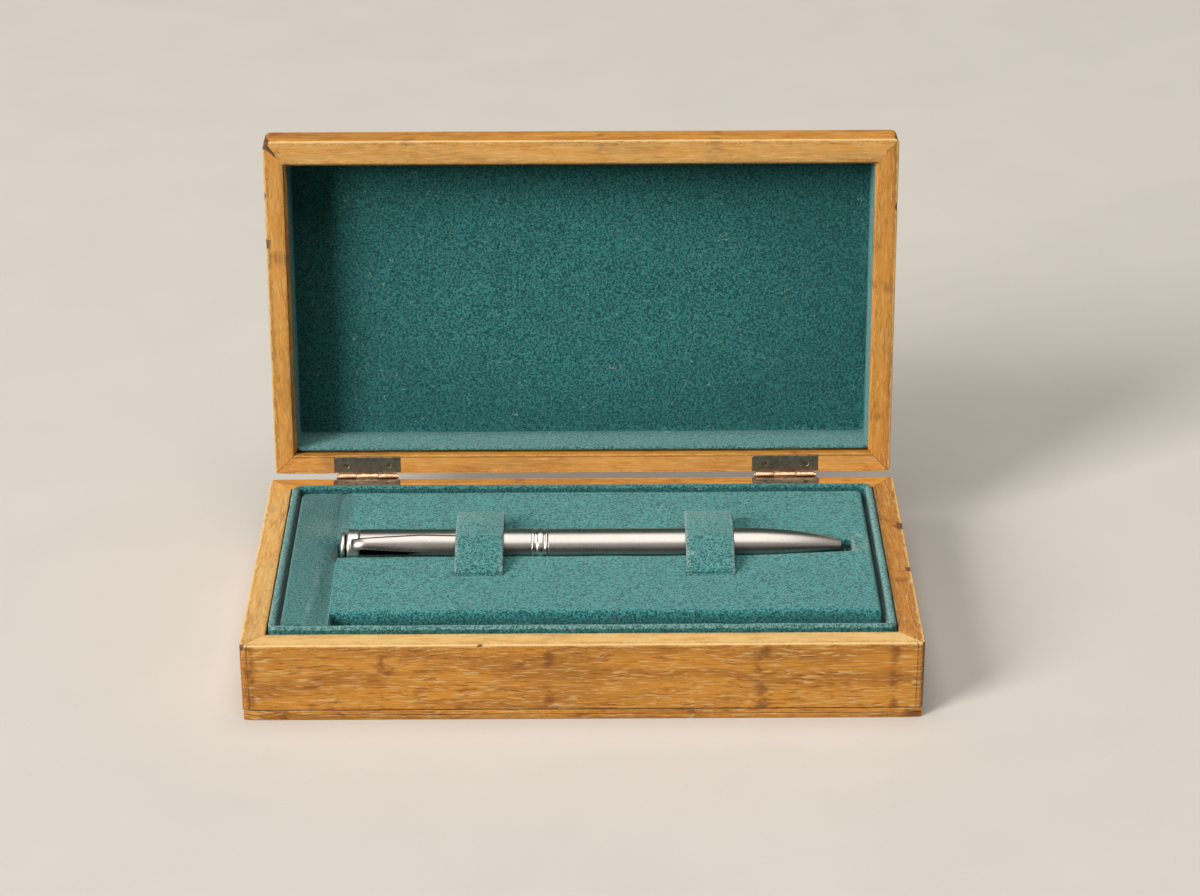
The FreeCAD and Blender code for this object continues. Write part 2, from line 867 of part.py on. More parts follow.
def make_screws(leaf):
    screws = []
    head, length, clear = size("screw_head"), size("screw_length"), size("screw_clear")
    wide, narrow = size("screw_head_radius"), size("screw_radius")
    for side, centre in hinge_centres.items():
        for number, shift in enumerate((-1, 1)):
            tag = "Screw%s%s%d" % (leaf, side, number)
            x = centre + shift * size("screw_spread")
            y = half_depth - size("screw_inset")
            if leaf == "base":
                cap = cone(tag + "Head", narrow, wide, head, (x, y, top - clear - head))
                shank = rod(tag + "Shank", narrow, length - head, (x, y, top - clear - length), "z")
            else:
                cap = cone(tag + "Head", wide, narrow, head, (x, y, lid_low + clear))
                shank = rod(tag + "Shank", narrow, length - head, (x, y, lid_low + clear + head), "z")
            screws.append(fuse(tag, [cap, shank]))
    name = "hinge_screws_" + leaf
    screws = group(name, screws)
    if leaf == "lid":
        swing_open(screws)
    piece(screws, name)


def make_hinges():
    for side, centre in hinge_centres.items():
        for leaf in ("base", "lid"):
            make_leaf(leaf, side, centre)
        make_pin(side, centre)
    for leaf in ("base", "lid"):
        make_screws(leaf)


# Pen


def lay_in_groove(body, node):
    move(body, 0, size("pen_y"), pen_z)
    return piece(body, node)


def make_pen_top():
    left = size("pen_left")
    shoulder = left + size("finial_length")
    cap_start = shoulder + size("collar_length")
    radius, stem = size("finial_radius"), size("stem_radius")
    stem_end = cap_start + size("stem_length")
    finial = turned(
        "pen_finial",
        [
            (left, 0),
            (left, radius - size("finial_face_in"), size("finial_face_round")),
            (left + size("finial_face_along"), radius),
            (shoulder, radius),
            (shoulder, stem),
            (stem_end, stem),
            (stem_end, 0),
        ],
    )
    lay_in_groove(finial, "pen_finial")

    bore = size("cap_bore")
    cap_radius = size("cap_radius")
    stem_hole = stem + size("stem_clear")
    stem_room = stem_end + size("stem_end_gap")
    cap = turned(
        "pen_cap_tube",
        [
            (cap_start, stem_hole),
            (cap_start, cap_radius),
            (size("cap_end"), cap_radius),
            (size("cap_end"), bore),
            (stem_room, bore),
            (stem_room, stem_hole),
        ],
    )
    lay_in_groove(cap, "pen_cap_tube")
    make_pen_clip(shoulder, cap_start, stem_hole)


def make_pen_clip(shoulder, cap_start, stem_hole):
    """A collar with a spring arm, turned about the pen's axis towards the front."""
    radius = size("cap_radius")
    lead = size("collar_lead")
    low, high = radius - size("collar_ease"), radius + size("collar_swell")
    collar = turned(
        "ClipCollar",
        [
            (shoulder, stem_hole),
            (shoulder, low),
            (shoulder + lead, high),
            (cap_start - lead, high),
            (cap_start, low),
            (cap_start, stem_hole),
        ],
    )
    arm = new_body("ClipArm")
    side = sketch_on(arm, "ClipSide", "XZ_Plane", -(size("clip_width") / 2))
    rise, thick, end = size("clip_rise"), size("clip_thick"), size("clip_end")
    root, bury, sag, tip = size("clip_root"), size("clip_bury"), size("clip_sag"), size("clip_tip")
    slope, touch = end - size("clip_slope"), end - size("clip_touch")
    rest = radius + size("clip_lift")
    outline(
        side,
        [
            (shoulder + root, radius - bury),
            (cap_start - lead, radius - bury),
            (cap_start - lead, radius + bury),
            (cap_start + size("clip_ramp"), rise - thick),
            (slope, rise - thick - sag),
            (touch, rest),
            (end - size("clip_lip"), rest),
            (end, rest + tip),
            (end - tip, rest + thick + sag),
            (touch, rest + thick),
            (slope, rise - sag),
            (cap_start + root, rise),
            (shoulder + root, radius + thick),
        ],
    )
    add_pad(arm, side, size("clip_width"))
    clip = fuse("pen_clip", [collar, arm])
    clip.Placement = Placement(Vector(), Rotation(Vector(1, 0, 0), size("clip_turn").value))
    bind(clip, "Placement.Rotation.Angle", size("clip_turn"))
    lay_in_groove(clip, "pen_clip")


def make_pen_middle():
    """The centre band with its beads, and the fixed half of the twist mechanism."""
    start, end = size("cap_end"), size("split_at")
    bead, low, bore = size("bead_radius"), size("bead_low_radius"), size("cap_bore")
    slope = size("bead_slope")
    first_to = start + size("first_bead_to")
    second_from, second_to = start + size("second_bead_from"), start + size("second_bead_to")
    third_from = start + size("third_bead_from")
    band = turned(
        "pen_centre_band",
        [
            (start, bore),
            (start, bead),
            (first_to, bead),
            (first_to + slope, low),
            (second_from - slope, low),
            (second_from, bead),
            (second_to, bead),
            (second_to + slope, low),
            (third_from - slope, low),
            (third_from, bead),
            (end, bead),
            (end, bore),
        ],
    )
    lay_in_groove(band, "pen_centre_band")

    begin = size("housing_start")
    inside = begin + size("housing_end")
    room = size("drive_radius") + size("drive_clear")
    housing = turned(
        "pen_twist_housing",
        [
            (begin, 0),
            (begin, bore),
            (end, bore),
            (end, room),
            (inside, room),
            (inside, 0),
        ],
    )
    lay_in_groove(housing, "pen_twist_housing")


def make_pen_lower():
    """The barrel that twists, the sleeve that it drives, and the refill inside."""
    start = size("split_at") + size("split_gap")
    outer, mouth = size("barrel_radius"), size("mouth_radius")
    taper, tip = size("taper_start"), size("pen_right")
    run, drop = tip - taper, outer - mouth
    nose_radius = (run * run + drop * drop) / (2 * drop)
    bore, drive_end = size("cap_bore"), size("drive_end")
    thin_bore = bore - size("bore_step")
    barrel = turned(
        "pen_barrel",
        [
            (start, bore),
            (start, outer),
            (taper, outer, nose_radius),
            (tip, mouth),
            (tip, size("mouth_bore")),
            (tip - size("mouth_length"), size("mouth_bore")),
            (tip - size("nose_bore"), thin_bore),
            (drive_end, thin_bore),
            (drive_end, bore),
        ],
    )
    lay_in_groove(barrel, "pen_barrel")

    drive_start = size("housing_start") + size("housing_end") + size("drive_gap")
    drive, core = size("drive_radius"), size("drive_bore")
    sleeve = turned(
        "pen_twist_drive",
        [
            (drive_start, core),
            (drive_start, drive),
            (start, drive),
            (start, bore),
            (drive_end, bore),
            (drive_end, core),
        ],
    )
    lay_in_groove(sleeve, "pen_twist_drive")

    refill_start = size("housing_start") + size("refill_back")
    body, nib, ball = size("refill_radius"), size("refill_tip_radius"), size("ball_radius")
    point = tip - size("refill_inset")
    refill = turned(
        "pen_refill",
        [
            (refill_start, 0),
            (refill_start, body),
            (tip - size("refill_neck_from"), body),
            (tip - size("refill_neck_to"), nib),
            (tip - size("refill_cone"), nib),
            (point, ball),
            (point, 0),
        ],
    )
    lay_in_groove(refill, "pen_refill")


def check_and_write():
    doc.recompute()
    for item in doc.Objects:
        if "Invalid" in item.State or "Error" in item.State:
            raise RuntimeError(item.Label + " failed to build")
    for item in pieces:
        if item.Shape.isNull() or not item.Shape.isValid() or not item.Shape.Solids:
            raise RuntimeError(item.Label + " has no valid solid")
    os.makedirs("parts", exist_ok=True)
    for item in pieces:
        item.Shape.exportStep("parts/%s.step" % item.Label)
        print("%-24s %d solid(s) %10.1f mm3" % (item.Label, len(item.Shape.Solids), item.Shape.Volume))


make_base_case()
make_base_lining()
make_insert()
make_straps()
make_lid()
make_lid_lining()
make_hinges()
make_pen_top()
make_pen_middle()
make_pen_lower()
check_and_write()
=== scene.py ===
import json
import math

import bmesh
import bpy
from bpy.props import FloatProperty, FloatVectorProperty, IntProperty, PointerProperty
from bpy.types import Operator, Panel, PropertyGroup
from mathutils import Matrix, Vector, noise


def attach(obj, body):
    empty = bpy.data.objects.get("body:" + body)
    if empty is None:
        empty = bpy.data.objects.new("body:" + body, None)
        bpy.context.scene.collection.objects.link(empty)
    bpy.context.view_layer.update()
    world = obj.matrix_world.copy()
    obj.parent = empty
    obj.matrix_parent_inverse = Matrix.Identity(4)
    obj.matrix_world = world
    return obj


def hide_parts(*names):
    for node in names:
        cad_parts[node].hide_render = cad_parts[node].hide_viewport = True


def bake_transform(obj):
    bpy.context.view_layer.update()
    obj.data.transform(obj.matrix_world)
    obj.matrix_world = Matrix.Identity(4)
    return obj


bl_info = {
    "name": "Wooden pen box",
    "version": (1, 0, 0),
    "blender": (4, 5, 0),
    "location": "3D View > Sidebar > Pen Box",
    "description": "Dresses the packed pen box: worn wood, teal flock, hinges and a satin pen",
    "category": "Object",
}

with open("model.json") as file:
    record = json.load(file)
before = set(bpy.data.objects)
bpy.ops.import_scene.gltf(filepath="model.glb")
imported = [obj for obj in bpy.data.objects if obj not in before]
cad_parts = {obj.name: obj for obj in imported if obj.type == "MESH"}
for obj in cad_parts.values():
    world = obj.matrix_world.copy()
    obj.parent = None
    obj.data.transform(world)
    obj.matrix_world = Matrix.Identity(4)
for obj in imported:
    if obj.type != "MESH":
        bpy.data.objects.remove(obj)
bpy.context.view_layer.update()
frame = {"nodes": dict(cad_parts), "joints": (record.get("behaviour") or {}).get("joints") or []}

MM = 0.001
SIDES = ("front", "right", "back", "left")
ENDS = ("left", "right")


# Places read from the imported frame


def corners_of(nodes, turn=None):
    """The lowest and highest corner of some nodes, after an optional turn."""
    places = [v.co for name in nodes for v in frame["nodes"][name].data.vertices]
    if turn:
        places = [turn @ place for place in places]
    low = Vector([min(p[axis] for p in places) for axis in range(3)])
    high = Vector([max(p[axis] for p in places) for axis in range(3)])
    return low, high


def shut_corners(*nodes):
    """The corners of lid nodes as they lie when the lid is shut."""
    return corners_of(nodes, SWING_OPEN.inverted())


def side_nodes(pattern):
    return [pattern % side for side in SIDES]


lid_joint = next(joint for joint in frame["joints"] if joint["name"] == "lid_hinge")
HINGE = Vector(lid_joint["pos_m"])
OPEN_ANGLE = math.radians(lid_joint["range_deg"][1])
SWING_OPEN = (
    Matrix.Translation(HINGE) @ Matrix.Rotation(-OPEN_ANGLE, 4, "X") @ Matrix.Translation(-HINGE)
)

PEN_JOINT = next(joint for joint in frame["joints"] if joint["name"] == "pen_twist")
PEN_AXIS = Vector(PEN_JOINT["pos_m"])


# Sizes and colours that a user would change


def length(name, default, description):
    return FloatProperty(name=name, default=default, description=description, unit="LENGTH", precision=5)


def share(name, default, description):
    return FloatProperty(name=name, default=default, description=description, min=0.0, max=1.0)


def colour(name, default, description):
    return FloatVectorProperty(
        name=name, default=default, description=description, subtype="COLOR", size=3, min=0.0, max=1.0
    )


class WoodSettings(PropertyGroup):
    light: colour("Light wood", (0.82, 0.345, 0.045), "Colour of the pale growth")
    dark: colour("Dark flecks", (0.24, 0.066, 0.009), "Colour of the short dark flecks")
    pale: colour("Worn wood", (0.94, 0.63, 0.25), "Colour where the varnish is rubbed away")
    grime: colour("Grime", (0.085, 0.030, 0.011), "Colour of dirt in chips and joints")
    edge: length("Edge round", 0.30 * MM, "Rounding of the boards' long edges")
    bite: length("Edge bites", 0.12 * MM, "Depth of the dents along the edges")
    plan: length("Corner round", 1.2 * MM, "Rounding of the upright corners")
    step: length("Station step", 1.5 * MM, "Distance between the sections of a board")
    knots: length("Knot spacing", 43.0 * MM, "Distance between the dark cross bands")


class FlockSettings(PropertyGroup):
    deep: colour("Deep flock", (0.004, 0.058, 0.056), "Colour between the fibres")
    pile: colour("Pile", (0.088, 0.440, 0.425), "Colour of the fibre tips")
    fibre: colour("Loose fibre", (0.62, 0.70, 0.66), "Colour of lint and stray fibres")
    speckle: length("Speckle", 0.60 * MM, "Size of the flock's speckle")
    sway: length("Unevenness", 0.14 * MM, "How far the lining strays from true")
    sheen: share("Sheen", 0.62, "How much the nap brightens where it is seen along its surface")


class MetalSettings(PropertyGroup):
    satin: colour("Satin metal", (0.385, 0.362, 0.340), "Pen tube and clip")
    polished: colour("Polished metal", (0.60, 0.575, 0.545), "Finial, collar and beads")
    bronze: colour("Dark bronze", (0.46, 0.41, 0.335), "Hinge leaves")
    brass: colour("Rose brass", (0.86, 0.58, 0.38), "Hinge knuckles and pins")
    segments: IntProperty(name="Segments", default=96, description="Sides of a turned piece", min=24)


class StageSettings(PropertyGroup):
    floor: colour("Floor", (0.720, 0.680, 0.620), "Colour of the floor")
    sky: FloatProperty(name="Sky", default=0.04, description="Strength of the light from all round", min=0.0)
    overhead: FloatProperty(name="Overhead light", default=107.0, description="Power", unit="POWER")
    window: FloatProperty(name="Side light", default=337.0, description="Power", unit="POWER")


# Mesh building


def quad_strip(first, second, closed=True):
    """Faces between two rows of point numbers of equal length."""
    count = len(first)
    last = count if closed else count - 1
    return [(first[n], first[(n + 1) % count], second[(n + 1) % count], second[n]) for n in range(last)]


def add_piece(name, points, faces, finishes, body, slot, stands_for=(), turn=None, sharp=35.0, **data):
    """Makes a mesh object that rides on a body; data holds one value or vector for each point."""
    mesh = bpy.data.meshes.new(name)
    mesh.from_pydata([turn @ p for p in points] if turn else points, [], faces)
    for key, values in data.items():
        is_vector = hasattr(values[0], "__len__")
        attribute = mesh.attributes.new(key, "FLOAT_VECTOR" if is_vector else "FLOAT", "POINT")
        flat = [part for value in values for part in value] if is_vector else values
        attribute.data.foreach_set("vector" if is_vector else "value", flat)
    form = bmesh.new()
    form.from_mesh(mesh)
    bmesh.ops.recalc_face_normals(form, faces=form.faces)
    form.to_mesh(mesh)
    form.free()
    mesh.shade_smooth()
    mesh.set_sharp_from_angle(angle=math.radians(sharp))
    for finish in finishes if isinstance(finishes, (list, tuple)) else [finishes]:
        mesh.materials.append(finish)
    piece = bpy.data.objects.new(name, mesh)
    bpy.context.scene.collection.objects.link(piece)
    if stands_for:
        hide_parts(*stands_for)
    if body:
        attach(piece, body)
    return piece


def waver(place, size, seed=0.0):
    """Smooth noise from -1 to 1 with features of about the given size."""
    return noise.noise(Vector(place) / size + Vector((seed, seed * 0.7, seed * 1.3)))


def spaced(low, high, step, extra=()):
    """Even places from low to high, with some extra ones between them."""
    count = max(2, round((high - low) / step))
    even = [low + (high - low) * n / count for n in range(count + 1)]
    wanted = sorted(even + [place for place in extra if low < place < high])
    kept = wanted[:1]
    for place in wanted[1:]:
        if place - kept[-1] > 1e-6:
            kept.append(place)
    return kept


def soften_corner(x, y, half, radius):
    """Moves a point of a rectangle centred on zero so that the rectangle's corners are round."""
    over_x, over_y = abs(x) - (half[0] - radius), abs(y) - (half[1] - radius)
    if radius <= 0 or over_x <= 0 or over_y <= 0:
        return x, y
    factor = max(over_x, over_y) / math.hypot(over_x, over_y)
    near_x, near_y = half[0] - radius + over_x * factor, half[1] - radius + over_y * factor
    return math.copysign(near_x, x), math.copysign(near_y, y)


def dished(xs, ys, height, loops, radius):
    """A grid of heights whose border goes on as loops; the last loop is closed by one face.

    A loop is (outset, height, corner radius); its height may be a function of the border's height.
    """
    centre = Vector(((xs[0] + xs[-1]) / 2, (ys[0] + ys[-1]) / 2, 0.0))
    half = ((xs[-1] - xs[0]) / 2, (ys[-1] - ys[0]) / 2)
    wide, deep = len(xs), len(ys)
    points = []
    for y in ys:
        for x in xs:
            near_x, near_y = soften_corner(x - centre.x, y - centre.y, half, radius)
            place = Vector((centre.x + near_x, centre.y + near_y, 0.0))
            place.z = height(x, y)
            points.append(place)
    faces = []
    for j in range(deep - 1):
        first = [j * wide + i for i in range(wide)]
        faces += quad_strip(first, [n + wide for n in first], closed=False)
    border = [(i, 0) for i in range(wide - 1)] + [(wide - 1, j) for j in range(deep - 1)]
    border += [(i, deep - 1) for i in range(wide - 1, 0, -1)] + [(0, j) for j in range(deep - 1, 0, -1)]
    row = [j * wide + i for i, j in border]
    rim = list(row)
    for outset, level, corner in loops:
        grown = (half[0] + outset, half[1] + outset)
        following = []
        for (i, j), number in zip(border, rim):
            x = (xs[i] - centre.x) * grown[0] / half[0]
            y = (ys[j] - centre.y) * grown[1] / half[1]
            near_x, near_y = soften_corner(x, y, grown, corner)
            z = level(points[number].z) if callable(level) else level
            following.append(len(points))
            points.append(Vector((centre.x + near_x, centre.y + near_y, z)))
        faces += quad_strip(row, following)
        row = following
    faces.append(tuple(row))
    return points, faces


def rounding(radius, steps, begin=0.0, end=90.0):
    """Pairs (sine, cosine) times the radius, over a span of degrees."""
    spans = [math.radians(begin + (end - begin) * n / steps) for n in range(steps + 1)]
    return [(radius * math.sin(a), radius * math.cos(a)) for a in spans]


def rounded_route(corners, radii, step):
    """A flat route through corners, with an arc at each inner corner, as evenly spaced points."""
    route = [Vector(corners[0])]
    for number in range(1, len(corners) - 1):
        here = Vector(corners[number])
        back = (Vector(corners[number - 1]) - here).normalized()
        on = (Vector(corners[number + 1]) - here).normalized()
        half = back.angle(on) / 2
        reach = radii[number - 1] / math.tan(half)
        centre = here + (back + on).normalized() * (radii[number - 1] / math.sin(half))
        start, finish = here + back * reach - centre, here + on * reach - centre
        turn = math.atan2(start.x * finish.y - start.y * finish.x, start.dot(finish))
        count = max(3, round(abs(turn) * radii[number - 1] / step))
        for n in range(count + 1):
            angle = turn * n / count
            spin = Matrix.Rotation(angle, 2)
            route.append(centre + spin @ start)
    route.append(Vector(corners[-1]))
    filled = route[:1]
    for place in route[1:]:
        gap = place - filled[-1]
        pieces = max(1, round(gap.length / step))
        first = filled[-1].copy()
        filled += [first + gap * (n + 1) / pieces for n in range(pieces)]
    return filled


# Shader building


class Graph:
    """Adds shader nodes to a tree. An input is a plain value or another node's output."""

    def __init__(self, tree):
        self.tree = tree

    def node(self, kind, inputs=None, **settings):
        made = self.tree.nodes.new("ShaderNode" + kind)
        for name, value in settings.items():
            setattr(made, name, value)
        for name, value in (inputs or {}).items():
            if isinstance(value, bpy.types.NodeSocket):
                self.tree.links.new(value, made.inputs[name])
            else:
                made.inputs[name].default_value = value
        return made

    def math(self, operation, first, second=0.0):
        return self.node("Math", {0: first, 1: second}, operation=operation).outputs[0]

    def total(self, first, *others):
        for other in others:
            first = self.math("ADD", first, other)
        return first

    def product(self, first, *others):
        for other in others:
            first = self.math("MULTIPLY", first, other)
        return first

    def vector(self, operation, first, second):
        return self.node("VectorMath", {0: first, 1: second}, operation=operation).outputs[0]

    def ramp(self, value, low, high, start=0.0, end=1.0):
        inputs = {"Value": value, "From Min": low, "From Max": high, "To Min": start, "To Max": end}
        return self.node("MapRange", inputs, interpolation_type="SMOOTHSTEP").outputs[0]

    def mix(self, factor, first, second, blend="MIX"):
        inputs = {0: factor, 6: first, 7: second}
        return self.node("Mix", inputs, data_type="RGBA", blend_type=blend).outputs[2]

    def noise(self, place, sizes, detail=2.0, roughness=0.5, shift=0.0):
        """Noise from 0 to 1 whose features have the given sizes, in metres, along X, Y and Z."""
        scaled = self.vector("MULTIPLY", place, [1.0 / size for size in sizes])
        moved = self.vector("ADD", scaled, (shift, shift * 0.37, shift * 1.71))
        inputs = {"Vector": moved, "Scale": 1.0, "Detail": detail, "Roughness": roughness}
        return self.node("TexNoise", inputs).outputs[0]

    def attribute(self, name, output="Fac"):
        return self.node("Attribute", attribute_name=name).outputs[output]

    def place(self):
        return self.node("TexCoord").outputs["Object"]

    def group(self, name, inputs):
        made = self.node("Group")
        made.node_tree = bpy.data.node_groups[name]
        for key, value in inputs.items():
            if isinstance(value, bpy.types.NodeSocket):
                self.tree.links.new(value, made.inputs[key])
            else:
                made.inputs[key].default_value = value
        return made.outputs


FLOAT, VECTOR, COLOUR = "NodeSocketFloat", "NodeSocketVector", "NodeSocketColor"


def shader_group(name, inputs, outputs, build):
    """Builds a node group once; build takes the graph and the inputs and returns the outputs by name."""
    tree = bpy.data.node_groups.new(name, "ShaderNodeTree")
    for label, kind in inputs.items():
        tree.interface.new_socket(label, in_out="INPUT", socket_type=kind)
    for label, kind in outputs.items():
        tree.interface.new_socket(label, in_out="OUTPUT", socket_type=kind)
    given = tree.nodes.new("NodeGroupInput").outputs
    leave = tree.nodes.new("NodeGroupOutput")
    for label, socket in build(Graph(tree), given).items():
        tree.links.new(socket, leave.inputs[label])


def rgba(value, strength=1.0):
    return [min(1.0, part * strength) for part in value] + [1.0]


def build_wood_grain(graph, given):
    """Pale wood with short dark flecks, fine pores, pale fibres and dark cross bands."""
    place = given["Place"]
    drift = graph.noise(place, (16 * MM, 9 * MM, 9 * MM), 2.0, 0.5, 3.0)
    bend = graph.product(graph.math("SUBTRACT", drift, 0.5), 3.2 * MM)
    shift = graph.node("CombineXYZ", {1: bend, 2: bend}).outputs[0]
    bent = graph.vector("ADD", place, shift)
    broad = graph.noise(bent, (42 * MM, 4.5 * MM, 4.5 * MM), 3.0, 0.55, 7.0)
    flecks = graph.noise(bent, (5.5 * MM, 0.62 * MM, 0.62 * MM), 3.0, 0.6, 11.0)
    pores = graph.noise(bent, (12 * MM, 0.34 * MM, 0.34 * MM), 2.0, 0.6, 19.0)
    fibres = graph.noise(bent, (6 * MM, 0.45 * MM, 0.45 * MM), 2.0, 0.5, 29.0)
    clusters = graph.noise(bent, (18 * MM, 5 * MM, 5 * MM), 2.0, 0.5, 37.0)

    along = graph.node("SeparateXYZ", {0: place}).outputs[0]
    stray = graph.noise(place, (60 * MM, 400 * MM, 400 * MM), 1.0, 0.5, 41.0)
    cycles = graph.total(graph.math("DIVIDE", along, given["Knot Spacing"]), graph.product(stray, 0.9))
    wave = graph.math("ABSOLUTE", graph.math("SUBTRACT", graph.math("FRACT", cycles), 0.5))
    ragged = graph.noise(place, (3 * MM, 0.9 * MM, 0.9 * MM), 3.0, 0.7, 43.0)
    near = graph.total(wave, graph.product(graph.math("SUBTRACT", ragged, 0.5), 0.10))
    band = graph.ramp(near, 0.012, 0.075, 1.0, 0.0)
    patchy = graph.ramp(graph.noise(place, (5 * MM, 3.2 * MM, 3.2 * MM), 2.0, 0.5, 47.0), 0.44, 0.62)
    knots = graph.product(band, patchy, given["Figure"])

    fleck_mask = graph.product(graph.ramp(flecks, 0.50, 0.66), graph.ramp(clusters, 0.34, 0.60, 0.25, 1.0))
    pore_mask = graph.ramp(pores, 0.56, 0.70)
    tint = graph.mix(graph.product(graph.ramp(broad, 0.40, 0.68), 0.46), given["Light"], given["Dark"])
    tint = graph.mix(graph.product(fleck_mask, given["Figure"], 0.55), tint, given["Dark"])
    tint = graph.mix(graph.product(pore_mask, 0.40), tint, given["Dark"])
    tint = graph.mix(graph.product(graph.ramp(fibres, 0.52, 0.70), given["Figure"], 0.62), tint, given["Pale"])
    tint = graph.mix(graph.product(knots, 0.58), tint, given["Dark"])
    relief = graph.total(fleck_mask, graph.product(pore_mask, 0.8), knots)
    height = graph.math("SUBTRACT", 1.0, graph.product(relief, 0.33))
    return {"Color": tint, "Pores": pore_mask, "Height": height}


def build_edge_wear(graph, given):
    """Rubbed pale edges with a dirty border, and dark chips and joints."""
    ragged = graph.noise(given["Place"], (2.6 * MM, 0.9 * MM, 0.9 * MM), 3.0, 0.65, 5.0)
    crumbs = graph.noise(given["Place"], (0.5 * MM, 0.4 * MM, 0.4 * MM), 2.0, 0.6, 9.0)
    loose = graph.total(given["Wear"], graph.product(graph.math("SUBTRACT", ragged, 0.5), 1.1))
    mask = graph.ramp(loose, 0.40, 0.82)
    border = graph.math("SUBTRACT", graph.ramp(loose, 0.10, 0.42), mask)
    dirt = graph.product(graph.math("MAXIMUM", border, 0.0), graph.ramp(crumbs, 0.35, 0.65), 0.42)
    tint = graph.mix(dirt, given["Color"], given["Grime"])
    rubbed = graph.product(mask, graph.ramp(crumbs, 0.25, 0.60, 0.55, 1.0), 0.85)
    tint = graph.mix(rubbed, tint, given["Pale"])
    filth = graph.total(given["Stain"], graph.product(graph.math("SUBTRACT", ragged, 0.5), 0.5))
    dark = graph.product(graph.ramp(filth, 0.30, 0.75), 0.88)
    return {"Color": graph.mix(dark, tint, given["Grime"]), "Mask": mask}


def build_flock(graph, given):
    """Short dense fibres: a worm-like speckle, finer tips and a slow change of the nap."""
    place = given["Place"]
    speck = given["Speckle"]
    scaled = graph.node("VectorMath", {0: place, "Scale": graph.math("DIVIDE", 1.0, speck)}, operation="SCALE")
    coarse = graph.node("TexNoise", {"Vector": scaled.outputs[0], "Scale": 1.0, "Detail": 2.0, "Roughness": 0.6})
    fine = graph.node("TexNoise", {"Vector": scaled.outputs[0], "Scale": 2.6, "Detail": 1.0, "Roughness": 0.5})
    slow = graph.noise(place, (16 * MM, 16 * MM, 16 * MM), 2.0, 0.5, 13.0)
    curled = graph.ramp(coarse.outputs[0], 0.44, 0.57)
    tips = graph.ramp(fine.outputs[0], 0.43, 0.60)
    blend = graph.total(graph.product(curled, 0.64), graph.product(tips, 0.34), graph.product(slow, 0.12))
    tint = graph.mix(blend, given["Deep"], given["Pile"])
    dots = graph.node("TexVoronoi", {"Vector": scaled.outputs[0], "Scale": 0.95, "Randomness": 1.0})
    chosen = graph.node("SeparateColor", {0: dots.outputs["Color"]}).outputs[0]
    bright = graph.product(graph.ramp(dots.outputs["Distance"], 0.12, 0.40, 1.0, 0.0), graph.ramp(chosen, 0.35, 0.95))
    tint = graph.mix(graph.product(bright, 0.90), tint, given["Tips"])
    height = graph.total(graph.product(curled, 0.6), graph.product(tips, 0.4))
    return {"Color": tint, "Height": height}


def build_lint(graph, given):
    """Specks of dust and thin curved stray fibres, as a mask."""
    place = given["Place"]
    spots = graph.node("TexVoronoi", {"Vector": place, "Scale": 1.0 / (2.7 * MM), "Randomness": 1.0})
    chosen = graph.node("SeparateColor", {0: spots.outputs["Color"]})
    rare = graph.ramp(chosen.outputs[0], 0.64, 0.72)
    dots = graph.product(graph.ramp(spots.outputs["Distance"], 0.05, 0.11, 1.0, 0.0), rare)
    curl = graph.noise(place, (2.4 * MM, 2.4 * MM, 2.4 * MM), 1.0, 0.5, 53.0)
    line = graph.ramp(graph.math("ABSOLUTE", graph.math("SUBTRACT", curl, 0.5)), 0.004, 0.016, 1.0, 0.0)
    where = graph.ramp(graph.noise(place, (3.5 * MM, 3.5 * MM, 3.5 * MM), 1.0, 0.5, 59.0), 0.64, 0.70)
    lines = graph.product(line, where)
    mask = graph.product(graph.math("MAXIMUM", dots, lines), given["Amount"])
    return {"Mask": mask}


def build_brushed(graph, given):
    """Fine marks that run round a turned piece, with slow smears of handling."""
    marks = graph.noise(given["Place"], (0.09 * MM, 3.0 * MM, 3.0 * MM), 2.0, 0.6, 3.0)
    smears = graph.noise(given["Place"], (9 * MM, 4 * MM, 4 * MM), 3.0, 0.6, 17.0)
    rough = graph.total(given["Roughness"], graph.product(graph.math("SUBTRACT", marks, 0.5), 0.10))
    rough = graph.total(rough, graph.product(graph.math("SUBTRACT", smears, 0.5), given["Smear"]))
    return {"Roughness": rough, "Height": marks, "Smears": smears}


def build_patina(graph, given):
    """Cloudy tarnish with dark specks, for the hinge metal."""
    clouds = graph.noise(given["Place"], (1.6 * MM, 1.6 * MM, 1.6 * MM), 4.0, 0.65, 23.0)
    specks = graph.noise(given["Place"], (0.35 * MM, 0.35 * MM, 0.35 * MM), 2.0, 0.6, 31.0)
    spotted = graph.total(graph.product(graph.ramp(clouds, 0.40, 0.66), 0.6), graph.product(graph.ramp(specks, 0.58, 0.70), 0.5))
    return {"Color": graph.mix(spotted, given["Color"], given["Tarnish"]), "Mask": spotted}


